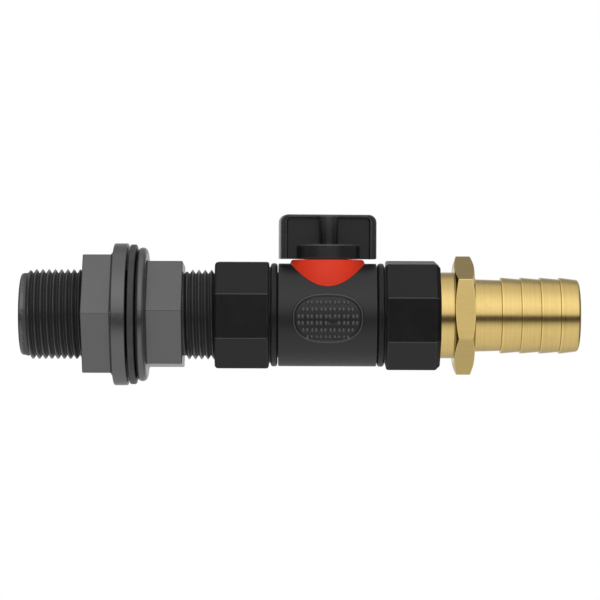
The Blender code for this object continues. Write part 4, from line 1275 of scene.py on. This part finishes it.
@dataclass
class HandleGroup(Assembly):
    """Everything that turns with the handle: the ball, the stem with its washer and seals, handle and screw.

    These are worked out round the stem with the blade along X, then turned by rest, the small angle that the
    handle stands past the water way's line.
    """

    rest: float = math.radians(6.0)
    ball_r: float = 15.0 * MM
    way_r: float = 10.0 * MM
    blade_half: tuple[float, float] = (17.8 * MM, 8.2 * MM)
    blade_corners: tuple[float, float] = (2.9 * MM, 0.45 * MM)
    blade_thick: float = 4.0 * MM
    foot: float = 20.65 * MM
    top: float = 37.05 * MM
    web: float = 2.4 * MM
    side_border: float = 2.35 * MM
    top_border: float = 1.15 * MM
    skirt_r: float = 11.95 * MM
    skirt_top: float = 26.0 * MM
    hollow_r: float = 9.75 * MM
    hollow_top: float = 24.35 * MM
    rib_half: float = 3.35 * MM
    rib_reach: float = 8.0 * MM
    screw_floor: float = 34.45 * MM

    def build(self) -> None:
        """Builds the turning pieces."""
        self.ball()
        self.stem()
        self.handle()
        self.screw()

    def placed(self, mesh: bpy.types.Mesh) -> bpy.types.Mesh:
        """Turns a mesh to the handle's rest and carries it to the stem."""
        mesh.transform(Matrix.Translation(Vector((VALVE_X, 0.0, 0.0))) @ Matrix.Rotation(self.rest, 4, "Z"))
        return mesh

    def turned(self, name: str, points: Rows, columns: int = 96, looped: bool = False) -> bpy.types.Mesh:
        """A solid turned round the stem's own line, from rows in millimetres."""
        rings = Rings(even_angles(columns), Axis.STEM)
        return rings.round([tuple(v * MM for v in p) for p in points]).mesh(name, looped)

    @staticmethod
    def box(name: str, low: tuple[float, float, float], high: tuple[float, float, float], edge: float) -> bpy.types.Mesh:
        """A block with its upright edges rounded, between two corners in millimetres."""
        low, high = np.array(low) * MM, np.array(high) * MM
        half, middle = (high - low)[:2] / 2, (high + low)[:2] / 2
        flat = outline(tuple(half), (edge * MM, edge * MM), tuple(middle), 0.0, 5)
        return grid_mesh(name, stacked([(low[2], flat), (high[2], flat)], True), False)

    def ball(self) -> None:
        """Bored ball: a sphere's rings from one mouth to the other, closed through the bore, with a slot."""
        widest = math.acos(self.way_r / self.ball_r)
        turn = np.linspace(-widest, widest, 60)[:, None]
        rings = Rings(even_angles(160))
        rings.add(self.ball_r * np.sin(turn), self.ball_r * np.cos(turn))
        rings.add(np.linspace(1, -1, 9)[1:-1, None] * self.ball_r * math.sin(widest), self.way_r)
        slot = self.box("ball_slot", (-2.4, -5.1, 12.0), (2.4, 5.1, 16.5), 0.5)
        mesh = combined(rings.mesh("bored_ball"), "DIFFERENCE", [slot])
        smoothed(mesh, "bored_ball")
        self.piece(self.placed(mesh), "ball_plastic", Body.BALL, "ball")

    def stem(self) -> None:
        """Stem with its flange, two seal grooves, tang and square drive, and its washer and seals."""
        rise = 23.95 - 18.24
        middles = (18.24 + 0.29 * rise, 18.24 + 0.71 * rise)
        grooves = [(m - 0.82, m + 0.82) for m in middles]
        path = [(15.7, 0.0), (15.7, 5.7, 0.2), (17.0, 5.7, 0.2), (17.0, 4.3)]
        for low, high in grooves:
            path += [(low, 4.3), (low, 2.95), (high, 2.95), (high, 4.3)]
        path += [(23.95, 4.3, 0.2), (23.95, 0.0)]
        shaft = self.turned("stem_shaft", path)
        tang = self.box("tang", (-2.1, -4.8, 12.3), (2.1, 4.8, 16.3), 0.4)
        drive = self.box("drive", (-2.0, -2.0, 23.0), (2.0, 2.0, 31.85), 0.25)
        hole = self.turned("screw_hole", [(24.55, 0.0), (24.55, 1.5), (33.0, 1.5), (33.0, 0.0)], 48)
        mesh = combined(combined(shaft, "UNION", [tang, drive]), "DIFFERENCE", [hole])
        smoothed(mesh, "valve_stem")
        self.piece(self.placed(mesh), "steel", Body.HANDLE, "stem")
        washer = [(17.12, 4.42), (17.12, 5.7, 0.15), (18.12, 5.7, 0.15), (18.12, 4.42)]
        mesh = self.placed(self.turned("stem_washer", washer, looped=True))
        self.piece(mesh, "seat_plastic", Body.HANDLE, "stem_thrust_washer")
        for label, middle in zip(("lower", "upper"), middles, strict=True):
            mesh = oring(f"stem_seal_{label}", middle * MM, 3.77 * MM, 0.7 * MM, Axis.STEM)
            self.piece(mesh, "seal_rubber", Body.HANDLE, f"stem_oring_{label}")

    def handle(self) -> None:
        """Butterfly handle.

        The blade is a rounded rectangle stacked across its thickness, its rims eased. Four panels are sunk
        in it by stacked outlines that flare at the mouth and ease into the floor. The hollow skirt is
        turned, and the rib is a bar with round noses that narrows downwards.
        """
        half, corners = self.blade_half, self.blade_corners
        middle = (0.0, (self.foot + self.top) / 2)
        ease = self.eased_insets(0.45 * MM)
        layers = [(-self.blade_thick + deep, outline(half, corners, middle, inset)) for deep, inset in ease]
        layers += [(self.blade_thick - deep, outline(half, corners, middle, inset)) for deep, inset in ease[::-1]]
        blade = grid_mesh("butterfly_handle", stacked(layers, False), False)
        skirt = self.turned("skirt", [(20.65, 0.0), (20.65, 11.95, 0.3), (26.0, 11.95, 0.65), (26.0, 0.0)], 160)
        hollow = self.turned("skirt_hollow", [(19.0, 0.0), (19.0, 9.75), (24.35, 9.75, 0.4), (24.35, 0.0)], 96)
        socket = self.box("socket", (-2.3, -2.3, 20.0), (2.3, 2.3, 32.15), 0.2)
        well = self.turned("screw_well", [(30.0, 0.0), (30.0, 1.5), (34.15, 1.5), (34.15, 2.6), (38.0, 2.6), (38.0, 0.0)], 64)
        lug = self.lug()
        mesh = combined(blade, "DIFFERENCE", self.panels())
        mesh = combined(mesh, "UNION", [skirt, self.rib()])
        mesh = combined(mesh, "DIFFERENCE", [hollow])
        mesh = combined(mesh, "UNION", [lug])
        mesh = combined(mesh, "DIFFERENCE", [socket, well])
        smoothed(mesh, "butterfly_handle")
        self.piece(self.placed(mesh), "handle_plastic", Body.HANDLE, "handle")

    @staticmethod
    def eased_insets(size: float, steps: int = 4) -> list[tuple[float, float]]:
        """Depth and inset of the layers of a rounded rim, from its face down to its side."""
        turns = np.linspace(0.0, TURN / 4, steps + 1)
        return list(zip(size * (1 - np.cos(turns)), size * (1 - np.sin(turns)), strict=True))

    def panels(self) -> list[bpy.types.Mesh]:
        """The four solids that sink the panels."""
        made = []
        inner, outer = 1.5 * MM, self.blade_half[0] - self.side_border
        low, high = self.foot - 3.0 * MM, self.top - self.top_border
        half = ((outer - inner) / 2, (high - low) / 2)
        flare, floor = 0.6 * MM, 0.55 * MM
        for x_side in (-1, 1):
            middle = (x_side * (inner + outer) / 2, (low + high) / 2)
            for y_side in (-1, 1):
                turns = np.linspace(0.0, TURN / 4, 5)
                layers = [(self.blade_thick + 0.6 * MM, -flare), (self.blade_thick + 0.02 * MM, -flare)]
                layers += [(self.blade_thick - flare * (1 - math.cos(t)), -flare * (1 - math.sin(t))) for t in turns[1:]]
                layers += [(self.web + floor * (1 - math.sin(t)), floor * (1 - math.cos(t))) for t in turns]
                stack = [(y_side * deep, outline(half, (1.5 * MM, 0.3 * MM), middle, inset)) for deep, inset in layers]
                made.append(grid_mesh(f"panel_{x_side}_{y_side}", stacked(stack, False), False))
        return made

    def rib(self) -> bpy.types.Mesh:
        """The upright bar across the blade, its top edge eased, a little narrower at its foot."""
        top = self.top - 0.45 * MM
        edge = 0.6 * MM
        layers = [(25.0 * MM, pill(self.rib_half * 0.93, self.rib_reach))]
        layers += [(26.4 * MM, pill(self.rib_half * 0.94, self.rib_reach))]
        for turn in np.linspace(0.0, TURN / 4, 5):
            inset = edge * (1 - math.cos(turn))
            layers.append((top - edge * (1 - math.sin(turn)), pill(self.rib_half * 1.04 - inset, self.rib_reach - inset)))
        return grid_mesh("rib", stacked(layers, True), False)

    def lug(self) -> bpy.types.Mesh:
        """The stop inside the skirt."""
        turns = math.pi / 2 + math.radians(24.0) * np.linspace(-0.5, 0.5, 9)
        rim = np.stack([np.cos(turns), np.sin(turns)], -1)
        points = np.vstack([10.6 * MM * rim, 8.0 * MM * rim[::-1]])
        points = np.vstack([points, points[:1]])
        return grid_mesh("handle_stop", stacked([(20.95 * MM, points), (24.9 * MM, points)], True), False)

    def screw(self) -> None:
        """Slotted screw with a slightly domed head and a plain shank."""
        path = [(24.85, 0.0), (24.85, 0.6), (26.05, 1.2), (34.45, 1.2), (34.45, 2.3, 0.1), (35.7, 2.3, 0.25),
                (36.15, 1.6, 0.8), (36.25, 0.0)]
        head = self.turned("slotted_screw", path, 72)
        slot = self.box("screw_slot", (-0.35, -4.0, 35.35), (0.35, 4.0, 37.0), 0.05)
        mesh = combined(head, "DIFFERENCE", [slot])
        smoothed(mesh, "slotted_screw")
        self.piece(self.placed(mesh), "steel", Body.HANDLE, "handle_screw")


# --- Hose tail -----------------------------------------------------------------------------------------


@dataclass
class HoseTail(Assembly):
    """Brass tail: male thread, plain neck, thin hexagon with slanted corners, and a tube with four barbs."""

    left: float = 95.2 * MM
    neck_x: float = 111.4 * MM
    neck_r: float = 15.9 * MM
    hex_x: float = 116.5 * MM
    tube_x: float = 123.8 * MM
    half: float = 19.15 * MM
    section: Flats = Flats(6, math.radians(143.0), 0.5 * MM)
    bore: float = 10.9 * MM
    tube_r: float = 13.4 * MM
    barb_x: float = 133.9 * MM
    pitch: float = 7.2 * MM
    crest: float = 14.05 * MM
    valley: float = 13.45 * MM
    slope: float = math.tan(math.radians(20.0))

    def build(self) -> None:
        """Builds the tail.

        The hexagon's faces are rings that lean in from the circle inside its flats: a ring's place along the
        axis moves by the slope times how far the section stands outside that circle. Each barb steps up
        with a small lip, then narrows to the next.
        """
        rings = Rings(self.section.angles(self.half, 24))
        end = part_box("hose_tail")[1].x
        undercut = 0.9 * MM
        rings.round([(self.left + 2.0 * MM, self.bore), (self.left, self.bore, 0.3 * MM),
                     (self.left, ROOT - 0.5 * MM, 0.2 * MM), (self.left + 0.6 * MM, ROOT)])
        rings.thread(male_thread(self.left + 0.6 * MM, self.neck_x - undercut))
        rings.round([(self.neck_x - undercut, ROOT), (self.neck_x + 0.1 * MM, self.neck_r, 0.2 * MM),
                     (self.hex_x, self.neck_r, 0.25 * MM), (self.hex_x, self.half - 0.15 * MM)])
        flats = self.section.radius(self.half, rings.angles)
        inside = self.half - 0.12 * MM
        lean = (flats - inside) * self.slope
        share = np.linspace(0.0, 1.0, 7)[:, None]
        radius = inside + (flats - inside)[None] * share
        rings.add(self.hex_x + (radius - inside) * self.slope, radius)
        rings.add(self.hex_x + lean + 0.12 * MM, flats + 0.0)
        rings.add(self.tube_x - lean - 0.12 * MM, flats + 0.0)
        rings.add(self.tube_x - (radius[::-1] - inside) * self.slope, radius[::-1])
        path: Rows = [(self.tube_x, self.half - 1.0 * MM), (self.tube_x, self.tube_r, 0.35 * MM)]
        low = self.tube_r - 0.3 * MM
        for i in range(4):
            start = self.barb_x + i * self.pitch
            path += [(start - 0.12 * MM, low, 0.12 * MM), (start, self.crest, 0.12 * MM)]
            path += [(start + 0.45 * MM, self.crest - 0.02 * MM, 0.3 * MM)]
            low = self.valley
        path += [(end, self.valley - 0.25 * MM, 1.1 * MM), (end, self.bore, 0.5 * MM)]
        rings.round(path, 5)
        rings.round([(end - 2.0 * MM, self.bore)])
        self.piece(rings.mesh("barbed_tail"), "brass", Body.VALVE_RUN, "hose_tail")


# --- Surroundings --------------------------------------------------------------------------------------


@dataclass
class Studio:
    """Pale floor, white surroundings, soft light from above and in front, and the camera.

    sky gives the light's brightness by its direction across the water way, in degrees: 0 is from the front,
    90 from above, 180 from behind and -90 from below. sides says how much of it is missing towards the two
    ends of the water way: it starts to fade where the direction's part along X is the first number, and the
    third number's share of it is gone at the second.
    """

    floor_z: float = -0.2
    floor_r: float = 0.78
    strength: float = 1.3
    sides: tuple[float, float, float] = (0.33, 0.78, 0.70)
    sky: tuple[tuple[float, float], ...] = (
        (-180, 0.62), (-150, 0.38), (-125, 0.50), (-105, 0.60), (-85, 0.64), (-60, 0.69), (-42, 0.70), (-30, 0.56),
        (-22, 0.34), (-16, 0.08), (-5, 0.05), (0, 0.30), (5, 0.70), (14, 0.86), (34, 1.00), (55, 0.92), (78, 0.70),
        (98, 0.60), (112, 0.52), (122, 0.37), (134, 0.28), (150, 0.28), (166, 0.52), (180, 0.62),
    )
    eye: tuple[float, float, float] = (0.0599, -0.980, 0.0055)
    roll: float = math.radians(0.2)
    lens: float = 158.9

    def build(self) -> None:
        """Sets up the floor, the white dome, the light and the camera."""
        bpy.context.scene.view_settings.view_transform = "Standard"
        self.light()
        self.floor()
        self.dome()
        self.camera()

    def light(self) -> None:
        """Lights the scene by a smooth sky that depends only on the direction across the water way."""
        world = bpy.data.worlds.new("soft_light")
        world.use_nodes = True
        bpy.context.scene.world = world
        tree = world.node_tree
        nodes = Nodes.__new__(Nodes)
        nodes.tree = tree
        way = nodes.add("ShaderNodeSeparateXYZ", None, {0: nodes.add("ShaderNodeTexCoord").outputs["Generated"]})
        x, y, z = (Value(nodes, out) for out in way.outputs)
        turn = z.joined("ARCTAN2", z, 0.0 - y) / TURN + 0.5
        stops = [((angle + 180) / 360, (level, level, level)) for angle, level in self.sky]
        ramp = nodes.add("ShaderNodeValToRGB", {"stops": stops}, {0: turn})
        back = tree.nodes["Background"]
        nodes.feed(back.inputs["Color"], ramp.outputs[0])
        low, high, share = self.sides
        nodes.feed(back.inputs["Strength"], self.strength * (1.0 - (x * x).rise(low**2, high**2) * share))

    def floor(self) -> None:
        """Pale round floor: rings of a disc, which thins out towards its rim."""
        radius = np.linspace(0.0, self.floor_r, 24)[:, None]
        turns = even_angles(96)
        grid = np.stack([0.06 + radius * np.cos(turns), radius * np.sin(turns), np.full((24, 97), self.floor_z)], -1)
        mesh = grid_mesh("floor", grid, False)
        nodes = Nodes("floor_paint")
        x, y, _ = nodes.parts()
        away = ((x - 0.06) * (x - 0.06) + y * y) ** 0.5
        tone = nodes.mix(nodes.noise(nodes.place(), 9.0), (0.90, 0.90, 0.89), (0.93, 0.93, 0.92))
        nodes.finish(tone, 0.8, None, 0.0, Specular_IOR_Level=0.2, Emission_Strength=0.3)
        clear = nodes.add("ShaderNodeBsdfTransparent")
        share = away.rise(self.floor_r * 0.6, self.floor_r * 0.98)
        blend = nodes.add("ShaderNodeMixShader", None, {0: share, 1: nodes.shader.outputs[0], 2: clear.outputs[0]})
        nodes.feed(nodes.tree.nodes["Material Output"].inputs["Surface"], blend.outputs[0])
        mesh.materials.append(nodes.material)
        self.show(mesh)

    def dome(self) -> None:
        """White surroundings that only the camera sees: a sphere of latitude rings round the object."""
        tilt = np.linspace(-TURN / 4, TURN / 4, 25)[:, None]
        turns = even_angles(48)
        grid = 5.0 * np.stack([np.cos(tilt) * np.cos(turns), np.cos(tilt) * np.sin(turns), np.sin(tilt) + 0 * turns], -1)
        mesh = grid_mesh("surroundings", grid, False)
        nodes = Nodes("white_surroundings")
        glow = nodes.add("ShaderNodeEmission", None, {"Color": (1.0, 1.0, 1.0, 1.0), "Strength": 1.0})
        nodes.feed(nodes.tree.nodes["Material Output"].inputs["Surface"], glow.outputs[0])
        mesh.materials.append(nodes.material)
        self.show(mesh)

    @staticmethod
    def show(mesh: bpy.types.Mesh) -> None:
        """Puts a mesh in the scene as surroundings that are seen but neither light the object nor shade it."""
        made = bpy.data.objects.new(mesh.name, mesh)
        bpy.context.scene.collection.objects.link(made)
        made.visible_diffuse = made.visible_glossy = made.visible_transmission = False
        made.visible_shadow = made.visible_volume_scatter = False

    def camera(self) -> None:
        """A long lens from the front, level with the water way."""
        lens = bpy.data.cameras.new("camera")
        lens.lens = self.lens
        lens.sensor_width = 36.0
        lens.clip_start, lens.clip_end = 0.05, 20.0
        made = bpy.data.objects.new("camera", lens)
        right = Vector((math.cos(self.roll), 0.0, math.sin(self.roll)))
        up = Vector((-math.sin(self.roll), 0.0, math.cos(self.roll)))
        turn = Matrix((right, up, Vector((0.0, -1.0, 0.0)))).transposed().to_4x4()
        made.matrix_world = Matrix.Translation(Vector(self.eye)) @ turn
        bpy.context.scene.collection.objects.link(made)
        bpy.context.scene.camera = made


def main() -> None:
    """Builds the surroundings and then each sub-assembly."""
    Studio().build()
    finishes = Finishes()
    for group in (HullGroup(finishes), ValveGroup(finishes), HandleGroup(finishes), HoseTail(finishes)):
        log.info("building %s", type(group).__name__)
        group.build()


if __name__ == "__main__":
    logging.basicConfig(level=logging.INFO, format="%(name)s: %(message)s")
    main()
